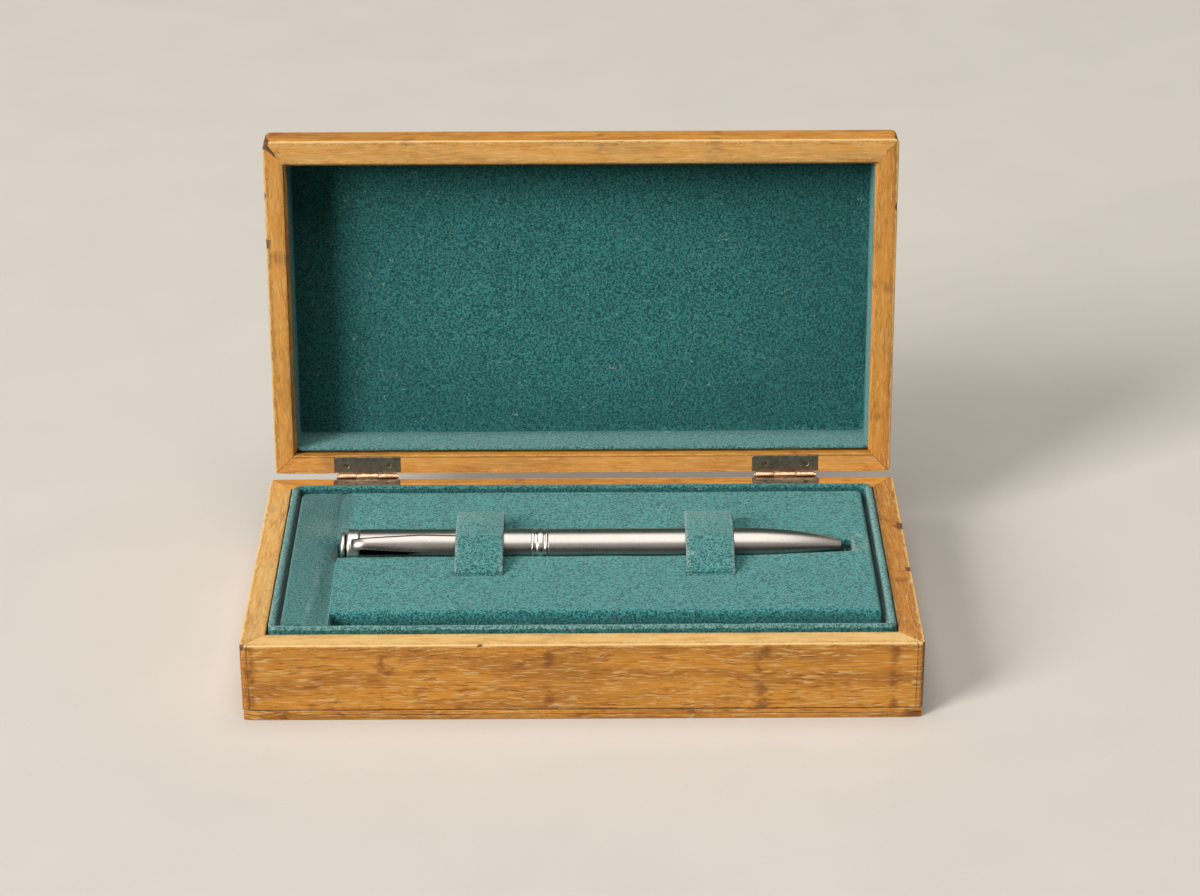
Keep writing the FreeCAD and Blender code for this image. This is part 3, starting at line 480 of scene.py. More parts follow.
def make_groups():
    shader_group(
        "Wood grain",
        {
            "Place": VECTOR,
            "Light": COLOUR,
            "Dark": COLOUR,
            "Pale": COLOUR,
            "Figure": FLOAT,
            "Knot Spacing": FLOAT,
        },
        {"Color": COLOUR, "Pores": FLOAT, "Height": FLOAT},
        build_wood_grain,
    )
    shader_group(
        "Edge wear",
        {"Place": VECTOR, "Color": COLOUR, "Pale": COLOUR, "Grime": COLOUR, "Wear": FLOAT, "Stain": FLOAT},
        {"Color": COLOUR, "Mask": FLOAT},
        build_edge_wear,
    )
    shader_group(
        "Flock",
        {"Place": VECTOR, "Deep": COLOUR, "Pile": COLOUR, "Tips": COLOUR, "Speckle": FLOAT},
        {"Color": COLOUR, "Height": FLOAT},
        build_flock,
    )
    shader_group("Lint", {"Place": VECTOR, "Amount": FLOAT}, {"Mask": FLOAT}, build_lint)
    shader_group(
        "Brushed metal",
        {"Place": VECTOR, "Roughness": FLOAT, "Smear": FLOAT},
        {"Roughness": FLOAT, "Height": FLOAT, "Smears": FLOAT},
        build_brushed,
    )
    shader_group(
        "Patina",
        {"Place": VECTOR, "Color": COLOUR, "Tarnish": COLOUR},
        {"Color": COLOUR, "Mask": FLOAT},
        build_patina,
    )


def new_material(name, build):
    """A material whose build function returns the inputs of its Principled shader."""
    if name in bpy.data.materials:
        return bpy.data.materials[name]
    if not bpy.data.node_groups.get("Wood grain"):
        make_groups()
    material = bpy.data.materials.new(name)
    material.use_nodes = True
    material.node_tree.nodes.clear()
    graph = Graph(material.node_tree)
    surface = graph.node("BsdfPrincipled", build(graph))
    graph.node("OutputMaterial", {"Surface": surface.outputs[0]})
    return material


def bump(graph, height, depth, strength=1.0):
    inputs = {"Height": height, "Distance": depth, "Strength": strength}
    return graph.node("Bump", inputs).outputs[0]


def wood_finish():
    wood = bpy.context.scene.box_wood

    def build(graph):
        place = graph.attribute("grain", "Vector")
        tone = graph.attribute("tone")
        grain = graph.group(
            "Wood grain",
            {
                "Place": place,
                "Light": rgba(wood.light),
                "Dark": rgba(wood.dark),
                "Pale": rgba(wood.pale),
                "Figure": graph.attribute("figure"),
                "Knot Spacing": wood.knots,
            },
        )
        # The tone attribute darkens the wood: each board's own tone, and painted shade in the strip at its ends.
        toned = graph.mix(graph.product(tone, 0.55), grain["Color"], rgba(wood.dark, 1.5))
        patches = graph.noise(place, (9 * MM, 2.0 * MM, 2.0 * MM), 3.0, 0.6, 61.0)
        bleach = graph.product(graph.attribute("bleach"), graph.ramp(patches, 0.30, 0.60, 0.40, 1.0))
        toned = graph.mix(bleach, toned, rgba(wood.pale))
        worn = graph.group(
            "Edge wear",
            {
                "Place": place,
                "Color": toned,
                "Pale": rgba(wood.pale),
                "Grime": rgba(wood.grime),
                "Wear": graph.attribute("wear"),
                "Stain": graph.attribute("stain"),
            },
        )
        rough = graph.total(0.40, graph.product(grain["Pores"], 0.12), graph.product(worn["Mask"], 0.25))
        height = graph.math("SUBTRACT", grain["Height"], graph.product(worn["Mask"], 0.3))
        return {
            "Base Color": worn["Color"],
            "Roughness": rough,
            "Coat Weight": 0.10,
            "Coat Roughness": 0.32,
            "Normal": bump(graph, height, 0.05 * MM, 0.8),
        }

    return new_material("worn_honey_wood", build)


def flock_finish(name="napped_teal_flock", speckle=1.0, lighten=0.0):
    flock = bpy.context.scene.box_flock

    def build(graph):
        place = graph.place()
        pile = Vector(flock.pile).lerp(Vector(flock.fibre), lighten)
        nap = graph.group(
            "Flock",
            {
                "Place": place,
                "Deep": rgba(flock.deep),
                "Pile": rgba(pile),
                "Tips": rgba(Vector(flock.pile).lerp(Vector(flock.fibre), 0.35)),
                "Speckle": flock.speckle * speckle,
            },
        )
        # Painted shade: the shade attribute darkens the flock towards the deep colour.
        tint = graph.mix(graph.product(graph.attribute("shade"), 0.62), nap["Color"], rgba(flock.deep))
        # The rub attribute lightens the nap towards the fibre colour: rubbing on the pad, the straps and the lining's
        # rims, and painted light on the base's front rim and the lid's hinge-side strip.
        rubbed = graph.product(graph.attribute("rub"), nap["Height"], 0.75)
        tint = graph.mix(rubbed, tint, rgba(flock.fibre, 0.72))
        lint = graph.group("Lint", {"Place": place, "Amount": 0.42})
        tint = graph.mix(lint["Mask"], tint, rgba(flock.fibre))
        return {
            "Base Color": tint,
            "Roughness": 0.95,
            "Specular IOR Level": 0.15,
            "Sheen Weight": flock.sheen,
            "Sheen Roughness": 0.40,
            "Sheen Tint": rgba((0.70, 0.97, 0.95)),
            "Normal": bump(graph, nap["Height"], 0.20 * MM, 0.9),
        }

    return new_material(name, build)


def metal_finish(name, tint, roughness, smear, marks=0.004 * MM):
    def build(graph):
        brushed = graph.group(
            "Brushed metal", {"Place": graph.place(), "Roughness": roughness, "Smear": smear}
        )
        shade = graph.mix(graph.product(brushed["Smears"], 0.25), rgba(tint), rgba(tint, 0.80))
        # Painted shade: the marked places (the finial's neck, the clip's edge and underside, the tube under the clip)
        # are darkened to near black.
        shade = graph.mix(graph.attribute("soil"), shade, rgba((0.006, 0.006, 0.005)))
        return {
            "Base Color": shade,
            "Metallic": 1.0,
            "Roughness": brushed["Roughness"],
            "Normal": bump(graph, brushed["Height"], marks, 0.5),
        }

    return new_material(name, build)


def hinge_finish(name, tint, tarnish, roughness):
    def build(graph):
        patina = graph.group(
            "Patina", {"Place": graph.place(), "Color": rgba(tint), "Tarnish": rgba(tarnish)}
        )
        rough = graph.total(roughness, graph.product(patina["Mask"], 0.22))
        return {
            "Base Color": patina["Color"],
            "Metallic": 1.0,
            "Roughness": rough,
            "Normal": bump(graph, patina["Mask"], 0.02 * MM, 0.6),
        }

    return new_material(name, build)


def board_finish():
    def build(graph):
        fibres = graph.noise(graph.place(), (1.2 * MM, 0.5 * MM, 0.5 * MM), 4.0, 0.65, 2.0)
        shade = graph.mix(fibres, rgba((0.36, 0.33, 0.29)), rgba((0.52, 0.48, 0.42)))
        return {"Base Color": shade, "Roughness": 0.9, "Normal": bump(graph, fibres, 0.05 * MM)}

    return new_material("grey_insert_board", build)


# Wooden boards


def wood_section(corners, fades=(0.7 * MM, 1.9 * MM)):
    """The rows of a board's closed section.

    A corner is (inset, height, edge radius, plan radius, wear). A row is the inset, the height, the
    way inwards, the corner's radius in plan and the wear there.
    """
    rows = []
    for number, (inset, height, radius, plan, wear) in enumerate(corners):
        here = Vector((inset, height))
        if not radius:
            rows.append((here, Vector((0.0, 0.0)), plan, 0.0))
            continue
        back = (Vector(corners[number - 1][:2]) - here).normalized()
        on = (Vector(corners[(number + 1) % len(corners)][:2]) - here).normalized()
        inwards = (back + on).normalized()
        half = back.angle(on) / 2
        reach = radius / math.tan(half)
        centre = here + inwards * (radius / math.sin(half))
        start, finish = here + back * reach - centre, here + on * reach - centre
        turn = math.atan2(start.x * finish.y - start.y * finish.x, start.dot(finish))
        if wear:
            rows += [(centre + start + back * fade, -start.normalized(), plan, wear * part) for fade, part in zip(fades[::-1], (0.0, 0.3))]
        steps = 4
        for n in range(steps + 1):
            spoke = Matrix.Rotation(turn * n / steps, 2) @ start
            edge = 0.72 + 0.28 * math.sin(math.pi * n / steps)
            rows.append((centre + spoke, -spoke.normalized(), plan, wear * edge))
        if wear:
            rows += [(centre + finish + on * fade, -finish.normalized(), plan, wear * part) for fade, part in zip(fades, (0.3, 0.0))]
    return rows


def half_side(reach, radius, zone, way):
    """A place on half of a side, at a way from its middle: (along, extra inset).

    The side ends in half of a round corner. Outside the last zone the way is the distance itself.
    """
    arc = radius * math.pi / 4
    straight = reach - radius
    begin = zone[0]
    if way > begin:
        way = begin + (way - begin) / (zone[1] - begin) * (straight + arc - begin)
    if way <= straight or not radius:
        return way, 0.0
    turn = (way - straight) / radius
    return straight + radius * math.sin(turn), radius * (1.0 - math.cos(turn))


def side_place(box, side):
    """A function that places (along, inset, height) on one side of a frame, and the side's half length."""
    (x0, y0), (x1, y1) = box
    middle_x, middle_y = (x0 + x1) / 2, (y0 + y1) / 2
    half_x, half_y = (x1 - x0) / 2, (y1 - y0) / 2
    places = {
        "front": (lambda a, i, z: Vector((middle_x + a, y0 + i, z)), half_x),
        "right": (lambda a, i, z: Vector((x1 - i, middle_y + a, z)), half_y),
        "back": (lambda a, i, z: Vector((middle_x - a, y1 - i, z)), half_x),
        "left": (lambda a, i, z: Vector((x0 + i, middle_y - a, z)), half_y),
    }
    return places[side]


def board_stations(half, step, extra):
    """Distances from the middle of a side, close together near the mitre and at some extra places."""
    near_end = [half - d * MM for d in (6.0, 4.2, 3.0, 2.4, 2.1, 1.9, 1.75, 1.6, 1.4, 1.1, 0.7, 0.4, 0.2, 0.0)]
    plain = spaced(0.0, half - 8 * MM, step, extra)
    positive = plain + near_end
    return [-way for way in reversed(positive[1:])] + positive


def edge_bite(along, seed):
    """How much is bitten out of an edge, from 0 to about 1.5."""
    slow = waver((along, 0, 0), 17 * MM, seed)
    quick = waver((along, 0, 0), 2.6 * MM, seed + 4.0)
    nick = max(0.0, waver((along, 0, 0), 5.5 * MM, seed + 9.0) - 0.42) * 3.0
    return max(0.0, 0.30 + 0.45 * slow + 0.45 * quick) + nick


def chip_at(place, chips):
    """The depth and dirt of the chips at a place."""
    depth = dirt = 0.0
    for spot, reach, deep in chips:
        near = 1.0 - (place - spot).length / reach
        if near > 0:
            rough = 0.6 + 0.9 * waver(place, 0.9 * MM, 3.0)
            depth = max(depth, deep * min(1.0, near * 1.6) * max(0.0, rough))
            dirt = max(dirt, min(1.0, near * 2.0) * (0.55 + 0.6 * rough))
    return depth, dirt


def cap_shade(from_end):
    """How much darker the wood is in the strip that ends a board: painted shade over the rounded upright corner."""
    return 0.45 * (1.0 - smooth(from_end, CAP_WIDTH - 0.1 * MM, CAP_WIDTH + 0.15 * MM))


def cap_line(from_end, height):
    """The ragged dark line that bounds the strip at a board's end."""
    wander = waver((height, 0, 0), 2.2 * MM, 7.0) * 0.22 * MM
    off = abs(from_end - CAP_WIDTH - wander) / (0.22 * MM)
    return 1.15 * math.exp(-off * off) * (0.75 + 0.5 * waver((height, 0, 0), 1.1 * MM, 8.0))


CAP_WIDTH = 1.7 * MM


def add_board(name, box, side, rows, rims, slope, look, body, stands_for, turn=None, extra=(), recess=None, chips=()):
    """One mitred board of a frame; rims holds the heights of its far edge and its rim, slope is the mitre's."""
    wood = bpy.context.scene.box_wood
    place_at, half = side_place(box, side)
    seed, tone, figure, end_shade_and_stain, scuff, paleness = look
    rim_level = rims[1]

    def rim_share(level):
        return 1.0 - smooth(abs(level - rim_level), 0.02 * MM, 0.30 * MM)

    ways = board_stations(half, wood.step, extra)
    centre = Vector(((box[0][0] + box[1][0]) / 2, (box[0][1] + box[1][1]) / 2, 0.0))
    points, grain, wear, stain, bleach, tones = [], [], [], [], [], []
    for way in ways:
        for spot, inwards, plan, worn in rows:
            inset, height = spot
            radius = max(plan - inset, 0.0)
            reach = half - inset * slope - 0.03 * MM
            along, deeper = half_side(reach, radius, (half - 8 * MM, half), abs(way))
            along = math.copysign(along, way)
            bite = wood.bite * worn * edge_bite(way, seed)
            inset, height = inset + deeper + inwards.x * bite, height + inwards.y * bite
            if recess:
                height = recess(along, inset, height)
            place = place_at(along, inset, height)
            depth, dirt = chip_at(place, chips)
            centre.z = place.z
            place += (centre - place).normalized() * depth
            from_end = half - abs(way)
            seam = max(0.0, 1.0 - from_end / (0.42 * MM))
            corner = cap_line(from_end, height) * end_shade_and_stain if spot.x < 1.2 * MM else 0.0
            points.append(place)
            grain.append((along + seed * 0.31, inset + seed * 0.17, height + seed * 0.23))
            wear.append(worn + scuff * (1.0 if worn == 0.0 and spot.y > rows[0][0].y else 0.5))
            foot = 0.66 * (1.0 - smooth(spot.y - rims[0], 0.10 * MM, 0.45 * MM)) if rims[1] > rims[0] else 0.0
            stain.append(max(seam * 0.62, corner, dirt, foot if spot.x < 0.6 * MM else 0.0))
            bleach.append(paleness * rim_share(spot.y))
            # Painted shade: the strip at the board's end is darkened over the rounded corner; the ragged line beside
            # it is a dark joint.
            tones.append(tone + cap_shade(from_end) * end_shade_and_stain * (1.0 - rim_share(spot.y)))
    count = len(rows)
    faces = []
    for n in range(len(ways) - 1):
        first = list(range(n * count, (n + 1) * count))
        faces += quad_strip(first, [k + count for k in first])
    faces.append(tuple(range(count)))
    faces.append(tuple(range(len(points) - count, len(points))))
    size = len(points)
    return add_piece(
        name, points, faces, wood_finish(), body, "honey_wood", stands_for, turn, 32.0,
        grain=grain, wear=wear, stain=stain, tone=tones, bleach=bleach, figure=[figure] * size,
    )


def slab_data(points, seed, tone, figure, worn, soiled=lambda place: 0.0):
    """The wood's point values on a slab; worn and darkened tell the wear and the dirt at a place."""
    grain = [(p.x + seed * 0.31, p.y + seed * 0.17, p.z + seed * 0.23) for p in points]
    count = len(points)
    return {
        "grain": grain,
        "wear": [worn(p) for p in points],
        "stain": [soiled(p) for p in points],
        "bleach": [0.0] * count,
        "tone": [tone] * count,
        "figure": [figure] * count,
    }


# Lid and base frames


def leaf_recess(leaves, middle, edge_y, level, down):
    """The recesses for the hinge leaves in a back board: their stations, inner edge and sinking."""
    clear, hair = 0.1 * MM, 0.015 * MM
    spans = [(middle - high.x - clear, middle - low.x + clear) for low, high in leaves]
    reach = edge_y - leaves[0][0].y + clear
    stations = [abs(end) + shift for span in spans for end in span for shift in (-hair, hair)]

    def sink(along, inset, height):
        over = inset <= reach and any(low <= along <= high for low, high in spans)
        past = (height - level - down) * down < 0
        return level + down if over and past else height

    return stations, reach, sink


BASE_LOOKS = {
    # seed, tone, figure, end shade and stain, scuff, paleness of the rim
    "front": (1.0, 0.0, 1.25, 0.85, 0.0, 0.85),
    "right": (2.0, 0.66, 1.20, 0.70, 0.25, 0.08),
    "back": (3.0, 0.22, 1.00, 0.50, 0.0, 0.10),
    "left": (4.0, 0.16, 1.20, 0.60, 0.06, 0.55),
}
LID_LOOKS = {
    "front": (5.0, 0.0, 0.95, 0.45, 0.0, 0.40),
    "right": (6.0, 0.20, 0.90, 0.55, 0.05, 0.10),
    "back": (7.0, 0.02, 0.80, 0.45, 0.0, 0.30),
    "left": (8.0, 0.06, 0.80, 0.55, 0.05, 0.18),
}


def flat_box(low, high):
    return (low.x, low.y), (high.x, high.y)


def add_base_case():
    wood = bpy.context.scene.box_wood
    low, high = corners_of(side_nodes("base_%s_wall"))
    front = corners_of(["base_front_wall"])
    thick = front[1].y - front[0].y
    leaves = [corners_of(["hinge_%s_base_leaf" % end]) for end in ENDS]
    middle = (low.x + high.x) / 2
    stations, reach, sink = leaf_recess(leaves, middle, high.y, high.z, -LEAF_THICK)
    outer, inner = wood.plan, 0.0
    hair = 0.01 * MM
    for side in SIDES:
        back = side == "back"
        corners = [
            (0.0, low.z, 0.24 * MM, outer, 0.22),
            (0.0, high.z, wood.edge, outer, 1.0),
            (reach - hair, high.z, 0.0, inner, 0.0),
            (reach + hair, high.z, 0.0, inner, 0.0),
            (thick, high.z, wood.edge * 0.7, inner, 0.55),
            (thick, low.z, 0.0, inner, 0.0),
        ]
        if not back:
            del corners[2:4]
        fades = (0.5 * MM, 0.7 * MM) if back else (0.7 * MM, 1.9 * MM)
        add_board(
            "base_%s_board" % side, flat_box(low, high), side, wood_section(corners, fades),
            (low.z, high.z), 1.0, BASE_LOOKS[side], "base", ["base_%s_wall" % side],
            extra=stations if back else (), recess=sink if back else None, chips=BASE_CHIPS,
        )

    floor_low, floor_high = corners_of(["base_bottom_board"])
    top, groove, middle = floor_high.z, 0.16 * MM, (floor_high.z + floor_low.z) / 2
    inset = 0.25 * MM
    xs = spaced(floor_low.x + inset, floor_high.x - inset, 3 * MM)
    ys = spaced(floor_low.y + inset, floor_high.y - inset, 3 * MM)
    loops = [
        (inset - 0.07 * MM, top - 0.07 * MM, outer),
        (inset, top - 0.24 * MM, outer),
        (inset, middle + groove, outer),
        (inset - groove, middle + 0.04 * MM, outer),
        (inset - groove, middle - 0.04 * MM, outer),
        (inset, middle - groove, outer),
    ]
    soft = 0.3 * MM
    loops += [(inset - soft + c, floor_low.z + soft - s, outer) for s, c in rounding(soft, 4)]
    points, faces = dished(xs, ys, lambda x, y: top, loops, outer)

    def worn(place):
        return 0.75 if place.z < floor_low.z + 0.75 * soft else 0.2

    def soiled(place):
        return 0.80 if abs(place.z - middle) < groove / 2 or place.z > top - 0.1 * MM else 0.0

    add_piece(
        "base_floor_board", points, faces, wood_finish(), "base", "honey_wood", ["base_bottom_board"],
        sharp=50.0, **slab_data(points, 9.0, 0.10, 1.5, worn, soiled),
    )


LEAF_THICK = 0.8 * MM
BASE_CHIPS = [
    (Vector((-89.8, -49.5, 22.3)) * MM, 1.5 * MM, 0.20 * MM),
    (Vector((89.8, -49.5, 22.2)) * MM, 1.0 * MM, 0.15 * MM),
    (Vector((-26.5, -49.6, 22.4)) * MM, 0.9 * MM, 0.30 * MM),
    (Vector((89.9, -8.0, 22.4)) * MM, 2.4 * MM, 0.30 * MM),
    (Vector((89.9, 18.0, 22.4)) * MM, 3.0 * MM, 0.28 * MM),
]
LID_CHIPS = [
    (Vector((-88.7, -49.3, 23.6)) * MM, 2.6 * MM, 0.60 * MM),
    (Vector((-88.3, -48.2, 22.5)) * MM, 1.4 * MM, 0.30 * MM),
    (Vector((-86.9, -46.9, 22.5)) * MM, 1.1 * MM, 0.22 * MM),
    (Vector((-85.6, -45.5, 22.5)) * MM, 0.8 * MM, 0.14 * MM),
    (Vector((88.9, -49.3, 24.0)) * MM, 1.6 * MM, 0.30 * MM),
    (Vector((89.9, -30.0, 22.6)) * MM, 2.2 * MM, 0.22 * MM),
    (Vector((-89.5, -20.0, 22.6)) * MM, 2.6 * MM, 0.20 * MM),
    (Vector((-89.5, -34.0, 22.6)) * MM, 2.0 * MM, 0.18 * MM),
]


def add_lid_case():
    wood = bpy.context.scene.box_wood
    low, high = shut_corners(*side_nodes("lid_%s_wall"), "lid_top_panel")
    walls_high = shut_corners("lid_left_wall")[1].z
    side_wall = shut_corners("lid_lining_panel")[0].x - low.x
    front_wall = shut_corners("lid_lining_panel")[0].y - low.y
    leaves = [shut_corners("hinge_%s_lid_leaf" % end) for end in ENDS]
    middle = (low.x + high.x) / 2
    stations, reach, sink = leaf_recess(leaves, middle, high.y, low.z, LEAF_THICK)
    soft = LID_ROUND
    turn_end = math.degrees(math.acos((walls_high - high.z + soft) / soft))
    curve = [(soft - s, high.z - soft + c) for s, c in rounding(soft, 6, 90.0, turn_end)]
    hair = 0.01 * MM
    for side in SIDES:
        back = side == "back"
        thick = front_wall if side == "front" else side_wall
        end_wall = side_wall if side in ("front", "back") else front_wall
        slope = end_wall / thick if side == "front" else 1.0
        corners = [(inset, height, 0.0, wood.plan + inset, 0.0) for inset, height in curve]
        corners.append((thick, walls_high, 0.0, 0.0, 0.0))
        if not back:
            corners += [(thick + out, low.z + up, 0.0, 0.0, 0.0) for out, up in LID_LEDGE]
        corners += [
            (thick, low.z, wood.edge * 0.7, 0.0, 0.45),
            (reach + hair, low.z, 0.0, 0.0, 0.0),
            (reach - hair, low.z, 0.0, 0.0, 0.0),
            (0.0, low.z, wood.edge, wood.plan, 1.0),
        ]
        if not back:
            del corners[-3:-1]
        fades = (0.4 * MM, 0.5 * MM) if back else (0.7 * MM, 1.9 * MM)
        add_board(
            "lid_%s_board" % side, flat_box(low, high), side, wood_section(corners, fades),
            (walls_high, low.z), slope, LID_LOOKS[side], "lid", ["lid_%s_wall" % side], SWING_OPEN,
            extra=stations if back else (), recess=sink if back else None, chips=LID_CHIPS,
        )

    xs = spaced(low.x + soft, high.x - soft, 2.5 * MM)
    ys = spaced(low.y + soft, high.y - soft, 2.5 * MM)
    crown = rounding(soft, 6, 0.0, turn_end)
    loops = [(s, high.z - soft + c, wood.plan) for s, c in crown[1:]]
    loops.append((crown[-1][0] - 0.12 * MM, walls_high, wood.plan))
    points, faces = dished(xs, ys, lambda x, y: high.z, loops, wood.plan)
    panel = slab_data(points, 10.0, 0.14, 0.8, lambda place: 0.0)
    add_piece(
        "lid_cover_board", points, faces, wood_finish(), "lid", "honey_wood", ["lid_top_panel"],
        SWING_OPEN, 50.0, **panel,
    )


LID_ROUND = 9.5 * MM
LID_LEDGE = [(0.0, 1.90 * MM), (0.75 * MM, 1.82 * MM), (0.02 * MM, 1.10 * MM)]


# Flocked linings


def sway(points, amount, size, seed, free=lambda place: 1.0):
    """Moves points by smooth noise, by as much as free allows at each."""
    for place in points:
        reach = amount * free(place)
        place += Vector([waver(place, size, seed + 5.0 * axis) * reach for axis in range(3)])


def add_base_lining():
    flock = bpy.context.scene.box_flock
    low, high = corners_of(side_nodes("base_lining_%s"))
    front = corners_of(["base_lining_front"])
    rim = RIM_WALL
    floor = corners_of(["base_lining_floor"])[1].z
    xs = spaced(low.x + rim, high.x - rim, 2.0 * MM, [low.x + rim + d * MM for d in (0.3, 0.7, 1.2)])
    ys = spaced(low.y + rim, high.y - rim, 2.0 * MM, [low.y + rim + d * MM for d in (0.3, 0.7, 1.2)])
    soft = 0.85 * MM
    top = high.z
    inner, outer = 1.3 * MM, 2.6 * MM
    levels = [floor + d * MM for d in (0.6, 4.0, 8.0, 12.0, 16.0)]
    loops = [(0.0, level, inner) for level in levels]
    loops += [(soft - c, top - soft + s, inner) for s, c in rounding(soft, 5)]
    loops += [(rim - soft + s, top - soft + c, outer) for s, c in rounding(soft, 5)]
    loops += [(rim, front[0].z + 0.4 * MM, outer)]
    points, faces = dished(xs, ys, lambda x, y: floor, loops, inner)
    sway(points, flock.sway, 7 * MM, 2.0, lambda p: min(1.0, max(0.0, (p.z - floor) / (6 * MM))))
    behind = high.y - 3.0 * MM
    # Painted light and shade: the front rim's top is lightened, the back rim's a little; the inner faces and the back
    # rim's top are darkened.
    rub = [0.0 if p.z < top - 0.7 * MM else (0.10 if p.y > behind else 0.60) for p in points]
    shade = [0.75 if p.z < top - 0.7 * MM else (0.35 if p.y > behind else 0.0) for p in points]
    add_piece(
        "base_lining", points, faces, flock_finish(), "base", "teal_flock",
        side_nodes("base_lining_%s") + ["base_lining_floor"], sharp=60.0, rub=rub, shade=shade,
    )


RIM_WALL = 1.9 * MM


def add_lid_lining():
    flock = bpy.context.scene.box_flock
    low, high = shut_corners("lid_lining_panel")
    strips = shut_corners(*side_nodes("lid_lining_%s"))
    thick = high.z - low.z
    cove = 0.4 * MM
    margin = thick + cove
    xs = spaced(low.x + margin, high.x - margin, 2.2 * MM)
    ys = spaced(low.y + margin, high.y - margin, 2.2 * MM)
    face = low.z
    soft = 0.38 * MM
    rim = strips[0].z
    corner = 0.9 * MM

    def panel(x, y):
        broad = waver((x, y, 0), 21 * MM, 4.0) * 0.22 + waver((x, y, 0), 6 * MM, 6.0) * 0.05
        return face - broad * MM * 0.9

    loops = [(s, face - cove + c, corner) for s, c in rounding(cove, 4)][1:]
    loops += [(cove, face - d * MM, corner) for d in (5.0, 8.0, 11.0)]
    loops += [(cove + soft - c, rim + soft - s, corner) for s, c in rounding(soft, 4)]
    loops += [(cove + thick - soft + s, rim + soft - c, corner) for s, c in rounding(soft, 4)]
    loops[-1] = (cove + thick - 0.04 * MM, rim + soft, corner)
    loops += [(cove + thick - 0.04 * MM, high.z - 0.3 * MM, corner)]
    points, faces = dished(xs, ys, panel, loops, corner)
    sway(points, flock.sway * 0.6, 9 * MM, 8.0, lambda p: 1.0 if p.z < face - 1.0 * MM else 0.3)
    hinge_side = high.y - margin
    # The lining's rim edge is rubbed pale; the hinge-side strip, which faces up when the lid is open, is lightened as
    # painted light.
    rub = [0.30 if p.z < rim + 0.5 * MM else (0.22 if p.y > hinge_side + 0.5 * cove and p.z < face - 0.5 * MM else 0.0) for p in points]
    middle, half = (low + high) / 2, (high - low) / 2

    # Painted shade: every strip but the hinge-side one is darkened, and the panel darkens from its middle towards its
    # edges and corners.
    def painted_lid_shade(p):
        if p.z < face - 1.0 * MM:
            return 0.0 if p.y > hinge_side else 0.35
        off = math.hypot((p.x - middle.x) / half.x, (p.y - middle.y) / half.y)
        return 0.38 + 0.46 * smooth(off, 0.35, 1.05)

    shade = [painted_lid_shade(p) for p in points]
    add_piece(
        "lid_lining", points, faces, flock_finish(), "lid", "teal_flock",
        side_nodes("lid_lining_%s") + ["lid_lining_panel"], SWING_OPEN, 60.0, rub=rub, shade=shade,
    )


# Insert


PAD_EDGE = 1.0 * MM
LEDGE_DROP = 6.75 * MM
SHELF_DROP = 1.35 * MM
PLATFORM_LEFT = 12.9 * MM
PLATFORM_FRONT = 6.8 * MM
CREASE = (Vector((-71.0, 3.1)) * MM, Vector((-73.1, -29.3)) * MM)
TORN_SPOT = Vector((77.2, 5.8)) * MM
GROOVE_LEFT = -68.3 * MM
GROOVE_RIGHT = 74.8 * MM
GROOVE_HALF = 5.6 * MM
STRAP_THICK = 0.8 * MM


def smooth(value, low, high):
    part = min(1.0, max(0.0, (value - low) / (high - low)))
    return part * part * (3.0 - 2.0 * part)


def round_step(past, radius, slant):
    """How far a surface has dropped past an edge, as a share: a round shoulder, then a steep face."""
    if past <= -radius:
        return 0.0
    if past >= slant:
        return 1.0
    shoulder = 0.16
    if past < 0:
        way = (past + radius) / radius
        return shoulder * (1.0 - math.sqrt(max(0.0, 1.0 - way * way)))
    foot = past / slant
    return shoulder + (1.0 - shoulder) * math.sin(foot * math.pi / 2)


def groove_half_width(x):
    """Half the groove's width, which narrows round the pen's tip."""
    taper = [(45.0 * MM, GROOVE_HALF), (55.0 * MM, 5.05 * MM), (68.6 * MM, 3.6 * MM), (GROOVE_RIGHT, 3.0 * MM)]
    if x <= taper[0][0]:
        return GROOVE_HALF
    for (x0, w0), (x1, w1) in zip(taper, taper[1:]):
        if x <= x1:
            return w0 + (w1 - w0) * (x - x0) / (x1 - x0)
    return taper[-1][1]


